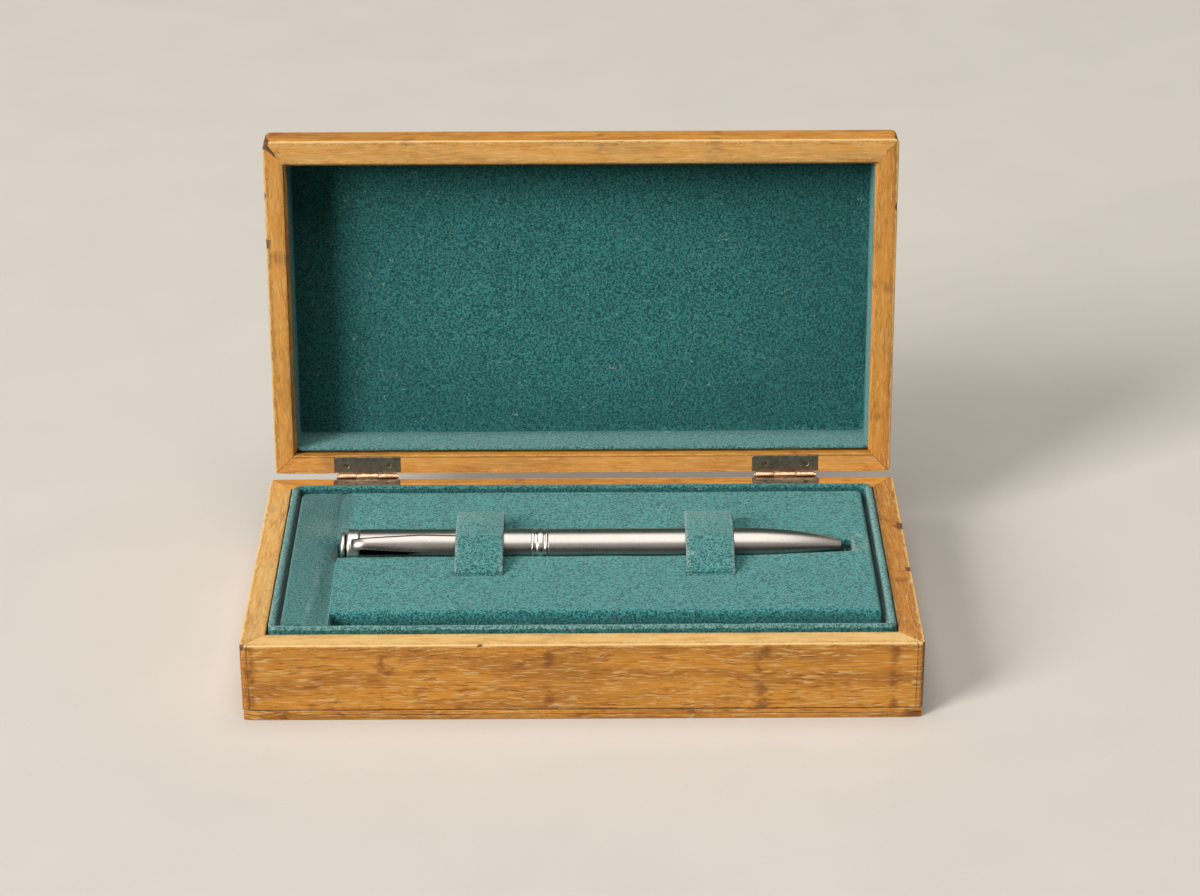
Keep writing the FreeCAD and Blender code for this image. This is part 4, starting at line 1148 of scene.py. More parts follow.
class PadShape:
    """The insert's upper surface, with everything pressed or cut into it."""

    def __init__(self):
        self.low, self.high = corners_of(["insert_pad"])
        self.top = self.high.z
        self.step_x = self.low.x + PLATFORM_LEFT
        self.step_y = self.low.y + PLATFORM_FRONT
        self.straps = [corners_of(["strap_" + side]) for side in ("left", "right")]
        self.axis_y = PEN_AXIS.y

    def edge_drop(self, x, y):
        near = min(x - self.low.x, self.high.x - x, y - self.low.y, self.high.y - y)
        if near >= PAD_EDGE:
            return 0.0
        way = 1.0 - near / PAD_EDGE
        return PAD_EDGE * (1.0 - math.sqrt(max(0.0, 1.0 - way * way)))

    def crease_x(self, y):
        """Where the shelf at the left begins to slope down to the platform's edge."""
        near, far = CREASE
        return near.x + (far.x - near.x) * (y - near.y) / (far.y - near.y)

    def shelf_drop(self, x, y):
        """How far the shelf lies below the platform: a slope with a shallow valley at its right."""
        behind = smooth(y, self.axis_y + 2 * MM, self.axis_y + 9 * MM)
        crease = self.crease_x(y) + waver((y, 0, 0), 7 * MM, 2.0) * 0.25 * MM
        slope = smooth(x, crease - 0.4 * MM, self.step_x - 0.7 * MM)
        soft = (0.35 + 3.2 * behind) * MM
        rise = smooth(x, self.step_x - 0.35 * MM - soft / 2, self.step_x - 0.35 * MM + soft / 2)
        drop = SHELF_DROP * (0.20 + 0.80 * slope) * (1.0 - 0.55 * behind)
        return drop * (1.0 - rise)

    def level(self, x, y):
        """The height before the groove and the slits."""
        height = self.top - self.shelf_drop(x, y)
        past = min(x - self.step_x, self.step_y - y)
        wobble = waver((x, y, 0), 11 * MM, 5.0) * 0.10 * MM
        drop = round_step(past + wobble, 0.9 * MM, 0.45 * MM)
        return height - drop * (height - self.top + LEDGE_DROP)

    def groove(self, x, y, height):
        half = groove_half_width(x)
        inside = min(x - GROOVE_LEFT, GROOVE_RIGHT - x)
        lip = 0.8 * MM
        off = abs(y - self.axis_y)
        if off > half + lip or inside < -lip:
            return height
        past = min(half - off, inside)
        if past < 0:
            way = (past + lip) / lip
            return height - 0.35 * MM * way * way
        floor = PEN_AXIS.z - math.sqrt(max(0.0, half * half - off * off))
        blend = smooth(inside, -0.05 * MM, 0.25 * MM)
        return min(height - 0.35 * MM, height + (floor - height) * blend)

    def slits(self, x, y, height):
        for low, high in self.straps:
            side = max(low.x - x, x - high.x) - 0.12 * MM
            for edge in (low.y + STRAP_THICK / 2, high.y - STRAP_THICK / 2):
                off = abs(y - edge) - STRAP_THICK / 2 - 0.14 * MM
                gap = max(side, off)
                if gap < 0:
                    return height - 2.6 * MM
                if gap < 1.6 * MM:
                    height -= 0.30 * MM * (1.0 - gap / (1.6 * MM)) ** 2
        return height

    def dents(self, x, y):
        off_x, off_y = x - GROOVE_LEFT, y - self.axis_y
        thumb = Vector((off_x / (3.4 * MM), (off_y - 0.5 * MM) / (5.2 * MM))).length
        press = 1.5 * MM * math.exp(-thumb * thumb * 1.3)
        tear = Vector(((x - TORN_SPOT.x) / 1.9, (y - TORN_SPOT.y) / 3.6)).length / MM
        ridge = 0.28 * MM * math.exp(-((tear - 1.0) ** 2) * 6.0) * (0.7 + 0.6 * waver((x, y, 0), 1.1 * MM, 1.0))
        hollow = 0.5 * MM * math.exp(-tear * tear * 2.0)
        return press + hollow - ridge

    def height(self, x, y):
        height = self.level(x, y)
        height -= self.dents(x, y)
        height -= max(0.0, 0.10 * MM + waver((x, y, 0), 14 * MM, 9.0) * 0.16 * MM)
        height += waver((x, y, 0), 3.2 * MM, 3.0) * 0.03 * MM
        height = self.groove(x, y, height)
        return self.slits(x, y, height) - self.edge_drop(x, y)

    def rubbed(self, place):
        """How pale the nap is rubbed: along the crease, above the groove's end and at the torn spot."""
        tear = Vector(((place.x - TORN_SPOT.x) / 2.3, (place.y - TORN_SPOT.y) / 4.4)).length / MM
        torn = math.exp(-((tear - 1.0) ** 2) * 9.0)
        line = abs(place.x - self.crease_x(place.y)) / (0.35 * MM)
        creased = math.exp(-line * line) * smooth(self.axis_y - place.y, 4 * MM, 14 * MM)
        above = Vector((place.x + 72.0 * MM, place.y - 16.0 * MM)).length / (5.0 * MM)
        return min(1.0, 0.9 * torn + 0.75 * creased + 0.40 * math.exp(-above * above))

    def painted_pad_shade(self, place):
        """How much painted shade darkens the nap: on the shelf beyond the groove's end, most of all towards the back,
        in the valley by the step, on faces that lie low and in the groove under the pen.
        """
        right = self.step_x + 2.5 * MM * smooth(place.y, self.axis_y + 2 * MM, self.axis_y + 9 * MM)
        shelf = 1.0 - smooth(place.x, right - 1.6 * MM, right + 0.2 * MM)
        back = smooth(place.y, -34 * MM, 30 * MM)
        valley = 1.0 - smooth(abs(place.x - self.step_x + 1.6 * MM), 0.3 * MM, 3.2 * MM)
        front = 1.0 - smooth(place.y, self.axis_y - 9 * MM, self.axis_y - 3 * MM)
        low = smooth(self.top - place.z, 1.6 * MM, 2.6 * MM)
        in_groove = abs(place.y - self.axis_y) < GROOVE_HALF + 0.3 * MM
        hidden = 1.5 * smooth(self.top - place.z, 0.9 * MM, 2.2 * MM) if in_groove else 0.0
        return max(hidden, min(1.0, shelf * (0.62 + 0.45 * back) + 0.35 * valley * front + 0.70 * low))

    def follow_groove(self, x, y):
        """Slides a grid line sideways so that it follows the groove's narrowing edge."""
        scale = groove_half_width(x) / GROOVE_HALF
        off = y - self.axis_y
        hold = 1.0 - smooth(abs(off), 7 * MM, 15 * MM)
        return self.axis_y + off * (1.0 + (scale - 1.0) * hold)


def add_pad():
    pad = PadShape()
    edges = [d * MM for d in (0.06, 0.2, 0.42, 0.7, 1.0)]
    near_x = [pad.low.x + d for d in edges] + [pad.high.x - d for d in edges]
    near_y = [pad.low.y + d for d in edges] + [pad.high.y - d for d in edges]
    near_x += [pad.step_x + d * MM for d in (-1.6, -1.2, -0.9, -0.6, -0.45, -0.3, -0.15, 0.05, 0.15, 0.25, 0.35, 0.5)]
    near_y += [pad.step_y - d * MM for d in (-0.9, -0.6, -0.3, -0.1, 0.05, 0.15, 0.25, 0.35, 0.5)]
    for end, way in ((GROOVE_LEFT, 1), (GROOVE_RIGHT, -1)):
        near_x += [end + way * d * MM for d in (-0.8, -0.5, -0.25, -0.02, 0.05, 0.15, 0.3, 0.6)]
    for d in (0.0, 1.2, 2.4, 3.4, 4.2, 4.8, 5.2, 5.45, 5.58, 5.62, 5.9, 6.3, 6.8):
        near_y += [pad.axis_y - d * MM, pad.axis_y + d * MM]
    for low, high in pad.straps:
        for edge, way in ((low.x, -1), (high.x, 1)):
            near_x += [edge + way * d * MM for d in (-0.3, 0.1, 0.13, 0.4, 0.9)]
    low, high = pad.straps[0]
    for edge in (low.y + STRAP_THICK / 2, high.y - STRAP_THICK / 2):
        near_y += [edge + s * d * MM for s in (-1, 1) for d in (0.0, 0.52, 0.56, 0.8, 1.2)]
    xs = spaced(pad.low.x, pad.high.x, 1.0 * MM, near_x)
    ys = spaced(pad.low.y, pad.high.y, 1.0 * MM, near_y)

    def height(x, y):
        return pad.height(x, pad.follow_groove(x, y))

    bottom = pad.low.z
    loops = [(0.0, lambda z, f=f: z + (bottom + 0.3 * MM - z) * f, 2.2 * MM) for f in (0.12, 0.35, 0.7, 1.0)]
    loops.append((-0.3 * MM, bottom, 2.0 * MM))
    points, faces = dished(xs, ys, height, loops, 2.2 * MM)
    wide = len(xs)
    for number in range(wide * len(ys)):
        point = points[number]
        if pad.low.y + 3 * MM < point.y < pad.high.y - 3 * MM:
            point.y = pad.follow_groove(point.x, point.y)
    rub = [pad.rubbed(place) for place in points]
    # Painted shade on the shelf, in the valley, on low faces and in the groove.
    shade = [pad.painted_pad_shade(place) for place in points]
    piece = add_piece(
        "flocked_insert", points, faces, flock_finish(), "base", "teal_flock", ["insert_pad"],
        sharp=75.0, rub=rub, shade=shade,
    )


def strap_route(low, high):
    """The strap's middle line across Y and Z, from its back slit over the pen to its front slit."""
    middle = STRAP_THICK / 2
    back, front = high.y - middle, low.y + middle
    axis = PEN_AXIS.y
    crest, over = PEN_AXIS.z + 4.9 * MM, high.z - middle
    corners = [
        (back, low.z + 6 * MM),
        (back, crest),
        (axis + 1.5 * MM, over),
        (axis - 5.6 * MM, over - 0.1 * MM),
        (front, PEN_AXIS.z + 1.4 * MM),
        (front, low.z + 6 * MM),
    ]
    return rounded_route(corners, [1.6 * MM, 12 * MM, 4 * MM, 1.6 * MM], 0.55 * MM)


def add_strap(side):
    low, high = corners_of(["strap_" + side])
    pad_top = corners_of(["insert_pad"])[1].z
    route = strap_route(low, high)
    seed = 1.0 if side == "left" else 6.0
    centre, half = (low.x + high.x) / 2, (high.x - low.x) / 2
    soft = STRAP_THICK * 0.42
    flat = [(x, STRAP_THICK / 2) for x in spaced(-half + soft, half - soft, 0.9 * MM)]
    bends = rounding(STRAP_THICK / 2, 6, 0.0, 180.0)[1:-1]
    right = [(half - soft + s * 0.84, c) for s, c in bends]
    ring = flat + right + [(-x, -z) for x, z in flat] + [(-x, -z) for x, z in right]
    points, rub = [], []
    travelled = 0.0
    for number, spot in enumerate(route):
        before, after = route[max(0, number - 1)], route[min(len(route) - 1, number + 1)]
        if number:
            travelled += (spot - route[number - 1]).length
        along = (after - before).normalized()
        out = Vector((along.y, -along.x)) * -1.0
        if out.y < 0 and abs(along.x) > 0.3:
            out = -out
        lift = smooth(spot.y, pad_top, pad_top + 3 * MM)
        for x, rise in ring:
            wave = waver((x, travelled, 0), 4.5 * MM, seed) * 0.16 * MM * lift
            ragged = waver((travelled, x, 0), 1.5 * MM, seed + 3) * 0.07 * MM * (abs(x) / half)
            cup = -0.22 * MM * (x / half) ** 2 * lift
            place = spot + out * (rise + wave + cup)
            points.append(Vector((centre + x + math.copysign(ragged, x), place.x, place.y)))
            # The side edges are rubbed pale, and the nap is lighter towards the back end.
            rub.append(0.9 if abs(x) > half - 0.45 * MM else 0.10 + 0.35 * smooth(spot.x, low.y + 24 * MM, high.y))
    count = len(ring)
    faces = []
    for n in range(len(route) - 1):
        first = list(range(n * count, (n + 1) * count))
        faces += quad_strip(first, [k + count for k in first])
    faces += [tuple(range(count)), tuple(range(len(points) - count, len(points)))]
    piece = add_piece(
        "elastic_strap_" + side, points, faces, flock_finish("napped_strap_cloth", 0.92, 0.05), None,
        "strap_cloth", ["strap_" + side], sharp=70.0, rub=rub,
    )
    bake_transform(piece)


# Pen


def lathe(profile, segments):
    """A turned solid about the pen's axis from a closed profile of places along it and radii."""
    points, faces, rows = [], [], []
    for x, radius in profile:
        if radius <= 0:
            rows.append([len(points)])
            points.append(Vector((x, PEN_AXIS.y, PEN_AXIS.z)))
            continue
        rows.append(list(range(len(points), len(points) + segments)))
        for n in range(segments):
            angle = 2 * math.pi * n / segments
            points.append(Vector((x, PEN_AXIS.y - radius * math.sin(angle), PEN_AXIS.z + radius * math.cos(angle))))
    pairs = list(zip(rows, rows[1:]))
    if len(rows[0]) > 1:
        pairs.append((rows[-1], rows[0]))
    for first, second in pairs:
        if len(first) == 1 and len(second) == 1:
            continue
        for n in range(segments):
            following = (n + 1) % segments
            ring = [first[n % len(first)], first[following % len(first)], second[following % len(second)], second[n % len(second)]]
            faces.append(tuple(dict.fromkeys(ring)))
    return points, faces


def eased(profile, radius, steps=3):
    """Rounds the corners of a profile, leaving its first and last points."""
    made = [profile[0]]
    for before, here, after in zip(profile, profile[1:], profile[2:]):
        spot = Vector(here)
        back, on = Vector(before) - spot, Vector(after) - spot
        reach = min(radius, back.length * 0.4, on.length * 0.4)
        start, finish = spot + back.normalized() * reach, spot + on.normalized() * reach
        for n in range(steps + 1):
            t = n / steps
            made.append(tuple(start * (1 - t) ** 2 + spot * 2 * t * (1 - t) + finish * t * t))
    made.append(profile[-1])
    return made


def add_turned(name, profile, finish, body, slot, node, ease=0.08 * MM, soiled=lambda place: 0.0):
    segments = bpy.context.scene.box_metal.segments
    points, faces = lathe(eased(profile, ease), segments)
    soil = [soiled(p) for p in points]
    return add_piece(name, points, faces, finish, body, slot, [node], sharp=40.0, soil=soil)


def radius_of(low, high):
    return (high.y - low.y) / 2


PEN_STEM = 2.0 * MM
PEN_BORE = 4.3 * MM


def finial_profile(left, neck, shoulder, wide, start):
    """A domed button, a narrow dark neck, and the stem that fixes them in the tube."""
    stem_end = start + 4.0 * MM
    return [
        (left, 0.0),
        (left + 0.05 * MM, wide * 0.50),
        (left + 0.22 * MM, wide * 0.80),
        (left + 0.55 * MM, wide * 0.96),
        (left + 0.95 * MM, wide),
        (neck - 0.20 * MM, wide * 0.98),
        (neck, wide * 0.86),
        (shoulder, wide * 0.88),
        (shoulder, PEN_STEM),
        (stem_end, PEN_STEM),
        (stem_end, 0.0),
    ]


def band_profile(begin, end, bead):
    """A thin bead, a grey valley, a round bead, a dark line and a plain ring."""
    valley, line = bead - 0.34 * MM, bead - 0.47 * MM
    return [
        (begin, PEN_BORE),
        (begin, bead - 0.15 * MM),
        (begin + 0.12 * MM, bead),
        (begin + 0.58 * MM, bead),
        (begin + 0.72 * MM, valley),
        (begin + 1.40 * MM, valley),
        (begin + 1.52 * MM, bead - 0.14 * MM),
        (begin + 2.35 * MM, bead),
        (begin + 3.18 * MM, bead - 0.14 * MM),
        (begin + 3.30 * MM, line),
        (begin + 3.66 * MM, line),
        (begin + 3.78 * MM, bead - 0.05 * MM),
        (end - 0.12 * MM, bead - 0.05 * MM),
        (end, bead - 0.20 * MM),
        (end, PEN_BORE),
    ]


def pen_satin():
    return metal_finish("satin_pen_metal", bpy.context.scene.box_metal.satin, 0.29, 0.10)


def pen_polish(name="polished_pen_metal", roughness=0.22):
    return metal_finish(name, bpy.context.scene.box_metal.polished, roughness, 0.06, 0.0015 * MM)


def add_pen_top():
    finial_low, finial_high = corners_of(["pen_finial"])
    cap_low, cap_high = corners_of(["pen_cap_tube"])
    band_low, band_high = corners_of(["pen_centre_band"])
    start = cap_low.x
    shoulder = corners_of(["pen_clip"])[0].x
    neck = shoulder - 0.42 * MM
    button = finial_profile(finial_low.x, neck, shoulder, radius_of(finial_low, finial_high), start)
    worn = pen_polish("handled_pen_metal", 0.33)

    # Painted shade: the neck between the button and the collar is darkened to near black.
    def in_neck(place):
        return 1.0 if neck - 0.1 * MM < place.x < shoulder + 0.1 * MM else 0.0

    add_turned("pen_finial_button", button, worn, "pen_upper", "pen_polished", "pen_finial", 0.12 * MM, in_neck)
    tube = radius_of(cap_low, cap_high)
    stem_hole, room = PEN_STEM + 0.05 * MM, start + 4.5 * MM
    cap = [
        (start, stem_hole),
        (start, tube - 0.12 * MM),
        (start + 0.25 * MM, tube),
    ]
    cap += [(x, tube) for x in spaced(start + 1.5 * MM, CLIP_END, 1.5 * MM)]
    cap += [(cap_high.x, tube), (cap_high.x, PEN_BORE), (room, PEN_BORE), (room, stem_hole)]

    def behind_clip(place):
        """The strip of the tube under the clip's arm, painted near black as the clip's shadow."""
        turn = math.degrees(math.atan2(PEN_AXIS.y - place.y, place.z - PEN_AXIS.z))
        reach = smooth(CLIP_END - 16.0 * MM - place.x, 0.0, 10.0 * MM)
        inner = (place - PEN_AXIS).yz.length < tube - 0.1 * MM
        side = smooth(turn, 38.0, 46.0) * (1.0 - smooth(turn, 66.0 + 17.0 * reach, 69.0 + 17.0 * reach))
        return 0.0 if inner else side * smooth(CLIP_END - place.x, 0.0, 6.0 * MM)

    add_turned(
        "pen_tube_upper", cap, pen_satin(), "pen_upper", "pen_satin", "pen_cap_tube", soiled=behind_clip
    )
    band = band_profile(band_low.x, band_high.x, radius_of(band_low, band_high))
    add_turned("pen_middle_band", band, pen_polish(), "pen_upper", "pen_polished", "pen_centre_band", 0.16 * MM)
    add_clip(shoulder, start, tube)


def clip_arm(shoulder, cap_start, tube):
    """The arm's sections: place along the pen, height of its upper face and half its width."""
    rest = tube + 0.25 * MM + CLIP_THICK
    return [
        (shoulder + 1.3 * MM, tube + 0.2 * MM, 1.45 * MM),
        (shoulder + 2.0 * MM, tube + 0.95 * MM, 1.50 * MM),
        (cap_start + 0.3 * MM, CLIP_RISE - 0.25 * MM, 1.60 * MM),
        (cap_start + 1.8 * MM, CLIP_RISE, 1.66 * MM),
        (cap_start + 8.0 * MM, CLIP_RISE, 2.05 * MM),
        (cap_start + 17.0 * MM, CLIP_RISE, 2.50 * MM),
        (CLIP_END - 12.0 * MM, CLIP_RISE - 0.3 * MM, 2.35 * MM),
        (CLIP_END - 8.0 * MM, CLIP_RISE - 0.65 * MM, 2.05 * MM),
        (CLIP_END - 3.8 * MM, rest + 0.05 * MM, 1.7 * MM),
        (CLIP_END - 2.2 * MM, rest, 1.45 * MM),
        (CLIP_END - 0.8 * MM, rest + 0.2 * MM, 1.1 * MM),
        (CLIP_END, rest + 0.55 * MM, 0.7 * MM),
    ]


def add_clip(shoulder, cap_start, tube):
    """The spring clip: a turned collar and an arm that leans to the front."""
    bulge = tube + 0.05 * MM
    collar = [
        (shoulder, PEN_STEM + 0.05 * MM),
        (shoulder, tube - 0.25 * MM),
        (shoulder + 0.40 * MM, bulge),
        (cap_start - 0.45 * MM, bulge),
        (cap_start - 0.05 * MM, tube - 0.16 * MM),
        (cap_start - 0.05 * MM, PEN_STEM + 0.05 * MM),
    ]
    points, faces = lathe(eased(collar, 0.25 * MM), bpy.context.scene.box_metal.segments)
    turned_faces = len(faces)
    spin = Matrix.Rotation(CLIP_TURN, 3, "X")
    centre = Vector((0.0, PEN_AXIS.y, PEN_AXIS.z))
    across = 10
    sections = clip_arm(shoulder, cap_start, tube)
    dense = []
    for section, following in zip(sections, sections[1:]):
        parts = max(2, round((following[0] - section[0]) / (1.2 * MM)))
        start, finish = Vector(section), Vector(following)
        dense += [start.lerp(finish, n / parts) for n in range(parts)]
    dense.append(Vector(sections[-1]))
    first = len(points)
    soil = [0.0] * first
    for x, height, half in dense:
        ways = [-half + 2 * half * n / (across - 1) for n in range(across)]
        ways.insert(-1, half - CLIP_LINE)
        upper = [(way, height - CLIP_CROWN * (way / half) ** 2) for way in ways]
        lower = [(way, height - CLIP_THICK) for way in reversed(ways)]
        # Painted shade: the line along the upper edge and the whole underside are darkened to near black.
        soil += [0.0] * (across - 1) + [0.9, 1.0] + [1.0] * len(lower)
        points += [centre + Vector((x, 0.0, 0.0)) + spin @ Vector((0.0, way, level)) for way, level in upper + lower]
    size = 2 * (across + 1)
    for n in range(len(dense) - 1):
        row = list(range(first + n * size, first + (n + 1) * size))
        faces += quad_strip(row, [k + size for k in row])
    faces.append(tuple(range(first, first + size)))
    faces.append(tuple(range(len(points) - size, len(points))))
    finishes = [pen_polish("handled_pen_metal", 0.33), pen_satin()]
    piece = add_piece(
        "pen_spring_clip", points, faces, finishes, "pen_upper", "pen_satin", ["pen_clip"], sharp=35.0, soil=soil
    )
    for number, polygon in enumerate(piece.data.polygons):
        polygon.material_index = 0 if number < turned_faces else 1


CLIP_RISE = 7.1 * MM
CLIP_THICK = 0.7 * MM
CLIP_CROWN = 0.45 * MM
CLIP_END = -23.0 * MM
# Width of the painted-shade line along the clip's upper edge.
CLIP_LINE = 0.30 * MM
CLIP_TURN = math.radians(52.0)


def add_pen_lower():
    low, high = corners_of(["pen_barrel"])
    wide, mouth, bore = radius_of(low, high), 1.75 * MM, PEN_BORE
    taper, tip = 45.0 * MM, high.x
    run, drop = tip - taper, wide - mouth
    curve = (run * run + drop * drop) / (2 * drop)
    steps = 24
    nose = []
    for n in range(1, steps + 1):
        along = run * n / steps
        nose.append((taper + along, wide - curve + math.sqrt(curve * curve - along * along)))
    profile = [(low.x, bore), (low.x, wide - 0.15 * MM), (low.x + 0.15 * MM, wide), (taper, wide)]
    profile += nose
    profile += [
        (tip, 1.3 * MM),
        (tip - 6 * MM, 1.3 * MM),
        (tip - 24 * MM, bore - 0.6 * MM),
        (8 * MM, bore - 0.6 * MM),
        (8 * MM, bore),
    ]
    add_turned("pen_tube_lower", profile, pen_satin(), "pen_lower", "pen_satin", "pen_barrel", 0.1 * MM)


def paint_node(node, finish):
    """Gives a CAD piece that stays in the scene its finish."""
    piece = frame["nodes"][node]
    if piece.data.materials:
        for number in range(len(piece.data.materials)):
            piece.data.materials[number] = finish
    else:
        piece.data.materials.append(finish)


def paint_inner_pieces():
    metal = bpy.context.scene.box_metal
    mechanism = metal_finish("mechanism_brass", (0.62, 0.50, 0.30), 0.30, 0.15)
    refill = metal_finish("refill_metal", (0.66, 0.53, 0.31), 0.24, 0.12)
    brass = hinge_finish("rubbed_rose_brass", metal.brass, (0.30, 0.15, 0.08), 0.24)
    paint_node("pen_twist_housing", mechanism)
    paint_node("pen_twist_drive", mechanism)
    paint_node("pen_refill", refill)
    paint_node("insert_board", board_finish())
    for side in ENDS:
        paint_node("hinge_%s_pin" % side, brass)


# Hinges


def circle(centre, radius, steps=32, begin=0.0, end=360.0):
    spans = [math.radians(begin + (end - begin) * n / steps) for n in range(steps + (end - begin < 360.0))]
    return [(centre[0] + radius * math.cos(a), centre[1] + radius * math.sin(a)) for a in spans]


def pressed_plate(loops, thick, bevel):
    """A flat plate with holes and eased edges, centred on its thickness, as points and faces."""
    curve = bpy.data.curves.new("plate", "CURVE")
    curve.dimensions = "2D"
    curve.fill_mode = "BOTH"
    curve.extrude = thick / 2 - bevel
    curve.bevel_depth = bevel
    curve.bevel_resolution = 2
    curve.offset = -bevel
    for loop in loops:
        spline = curve.splines.new("POLY")
        spline.points.add(len(loop) - 1)
        for point, (x, y) in zip(spline.points, loop):
            point.co = (x, y, 0.0, 1.0)
        spline.use_cyclic_u = True
    holder = bpy.data.objects.new("plate", curve)
    mesh = bpy.data.meshes.new_from_object(holder)
    points = [v.co.copy() for v in mesh.vertices]
    faces = [tuple(p.vertices) for p in mesh.polygons]
    bpy.data.objects.remove(holder)
    bpy.data.meshes.remove(mesh)
    return points, faces


def rounded_plan(x, y, radius):
    """A rectangle with round corners, as a loop."""
    corners = [(x[1] - radius, y[1] - radius, 0), (x[0] + radius, y[1] - radius, 90)]
    corners += [(x[0] + radius, y[0] + radius, 180), (x[1] - radius, y[0] + radius, 270)]
    return [p for cx, cy, turn in corners for p in circle((cx, cy), radius, 4, turn, turn + 90.0)]


def rolled_knuckle(neck, sheet):
    """The section of a leaf rolled round its pin, seen along X: a neck from the plate, then a curl."""
    outer, inner = KNUCKLE, 0.55 * MM
    under = math.degrees(math.asin(sheet / outer))
    section = [(-neck, -0.03 * MM)]
    section += circle((0, 0), inner, 28, 184.0, 526.0)
    section += circle((0, 0), outer, 40, 526.0, 180.0 + under)
    section.append((-neck, -sheet))
    return section


KNUCKLE = 1.2 * MM


def add_leaf(side, leaf):
    """A hinge leaf with countersunk holes and rolled knuckles, for the base or the lid."""
    metal = bpy.context.scene.box_metal
    dark = hinge_finish("tarnished_leaf_bronze", metal.bronze, (0.045, 0.038, 0.030), 0.36)
    brass = hinge_finish("rubbed_rose_brass", metal.brass, (0.30, 0.15, 0.08), 0.24)
    node = "hinge_%s_%s_leaf" % (side, leaf)
    low, high = corners_of([node]) if leaf == "base" else shut_corners(node)
    back, case_top = corners_of(["base_back_wall"])[1].yz
    lid_low = shut_corners("lid_left_wall")[0].z
    middle, half = (low.x + high.x) / 2, (high.x - low.x) / 2
    centre_z = case_top - LEAF_THICK / 2 if leaf == "base" else lid_low + LEAF_THICK / 2
    holes = [circle((middle + s * SCREW_SPREAD, back - SCREW_INSET), 0.75 * MM, 24) for s in (-1, 1)]
    plan = rounded_plan((middle - half, middle + half), (low.y, back - LEAF_NOTCH), 0.35 * MM)
    points, faces = pressed_plate([plan] + holes, LEAF_THICK, 0.12 * MM)
    points = [p + Vector((0, 0, centre_z)) for p in points]
    finish_numbers = [0] * len(faces)
    edge = KNUCKLE_MIDDLE / 2
    reach = half - KNUCKLE_INSET
    spans = [(-edge, edge)]
    if leaf == "base":
        spans = [(-reach, -edge - KNUCKLE_PLAY), (edge + KNUCKLE_PLAY, reach)]
    section = rolled_knuckle(HINGE.y - back + LEAF_NOTCH + 0.1 * MM, LEAF_THICK + 0.03 * MM)
    for start, finish in spans:
        ring, walls = pressed_plate([section], finish - start, 0.10 * MM)
        offset = len(points)
        for p in ring:
            z = p.y if leaf == "base" else -p.y
            points.append(Vector((middle + (start + finish) / 2 + p.z, HINGE.y + p.x, HINGE.z + z)))
        faces += [tuple(k + offset for k in wall) for wall in walls]
        finish_numbers += [1] * len(walls)
    piece = add_piece(
        "hinge_%s_%s_plate" % (side, leaf), points, faces, [dark, brass], leaf, "dark_leaf", [node],
        SWING_OPEN if leaf == "lid" else None, 30.0,
    )
    for polygon, number in zip(piece.data.polygons, finish_numbers):
        polygon.material_index = number


SCREW_SPREAD = 6.0 * MM
SCREW_INSET = 2.6 * MM
KNUCKLE_MIDDLE = 6.2 * MM
KNUCKLE_INSET = 1.1 * MM
KNUCKLE_PLAY = 0.15 * MM
LEAF_NOTCH = 0.4 * MM


def add_screws(leaf):
    """Four countersunk screws with turned slots, in the base leaves or the lid leaves."""
    metal = bpy.context.scene.box_metal
    finish = hinge_finish("dull_screw_brass", Vector(metal.brass) * 0.45, (0.08, 0.055, 0.04), 0.38)
    node = "hinge_screws_" + leaf
    back = corners_of(["base_back_wall"])[1].y
    face = corners_of([node])[1].z if leaf == "base" else shut_corners(node)[0].z
    down = -1.0 if leaf == "base" else 1.0
    points, faces = [], []
    number = 0
    for side in ENDS:
        low, high = corners_of(["hinge_%s_pin" % side])
        for shift in (-1, 1):
            turn = SLOT_TURNS[number] + (15.0 if leaf == "lid" else 0.0)
            spot = Vector(((low.x + high.x) / 2 + shift * SCREW_SPREAD, back - SCREW_INSET, face))
            slotted_head(points, faces, spot, down, math.radians(turn))
            number += 1
    add_piece(
        "hinge_screws_in_" + leaf, points, faces, finish, leaf, "screw_brass", [node],
        SWING_OPEN if leaf == "lid" else None, 30.0,
    )


def slotted_head(points, faces, centre, down, turn):
    """A screw from its head's middle outwards and down; points near the slot's line are sunk into it."""
    half, deep, wide, hair = 0.14 * MM, 0.22 * MM, 1.05 * MM, 0.02 * MM
    ways = [wide, 0.8 * MM, 0.5 * MM, half + hair, half]
    lines = [-way for way in ways] + [0.0] + ways[::-1]
    grid = []
    for v in lines:
        chord = math.sqrt(max(wide * wide - v * v, hair * hair * 0.01))
        row = []
        for n in range(9):
            u = chord * (n / 4 - 1.0)
            depth = deep if abs(v) <= half else hair * (u * u + v * v) / (wide * wide)
            x, y = u * math.cos(turn) - v * math.sin(turn), u * math.sin(turn) + v * math.cos(turn)
            row.append(len(points))
            points.append(centre + Vector((x, y, down * depth)))
        grid.append(row)
    for first, second in zip(grid, grid[1:]):
        faces += quad_strip(first, second, closed=False)
    rim = grid[0] + [row[-1] for row in grid[1:-1]] + grid[-1][::-1] + [row[0] for row in grid[-2:0:-1]]
    ring = rim
    for radius, depth in SCREW_STEPS:
        following = []
        for number in rim:
            off = points[number] - centre
            flat = Vector((off.x, off.y, 0.0)).normalized() * radius
            following.append(len(points))
            points.append(centre + flat + Vector((0.0, 0.0, down * depth)))
        faces += quad_strip(ring, following)
        ring = following
    faces.append(tuple(ring))


SLOT_TURNS = (20.0, 75.0, 130.0, 48.0)
SCREW_STEPS = [(r * MM, d * MM) for r, d in ((0.98, 0.14), (0.55, 0.5), (0.52, 6.4), (0.15, 6.9))]


# Stage


CAMERA_PLACE = Vector((1.955, -795.69, 436.64)) * MM
CAMERA_YAW = 0.0038
CAMERA_PITCH = 0.4465
CAMERA_ROLL = -0.0030
CAMERA_LENS = 97.59


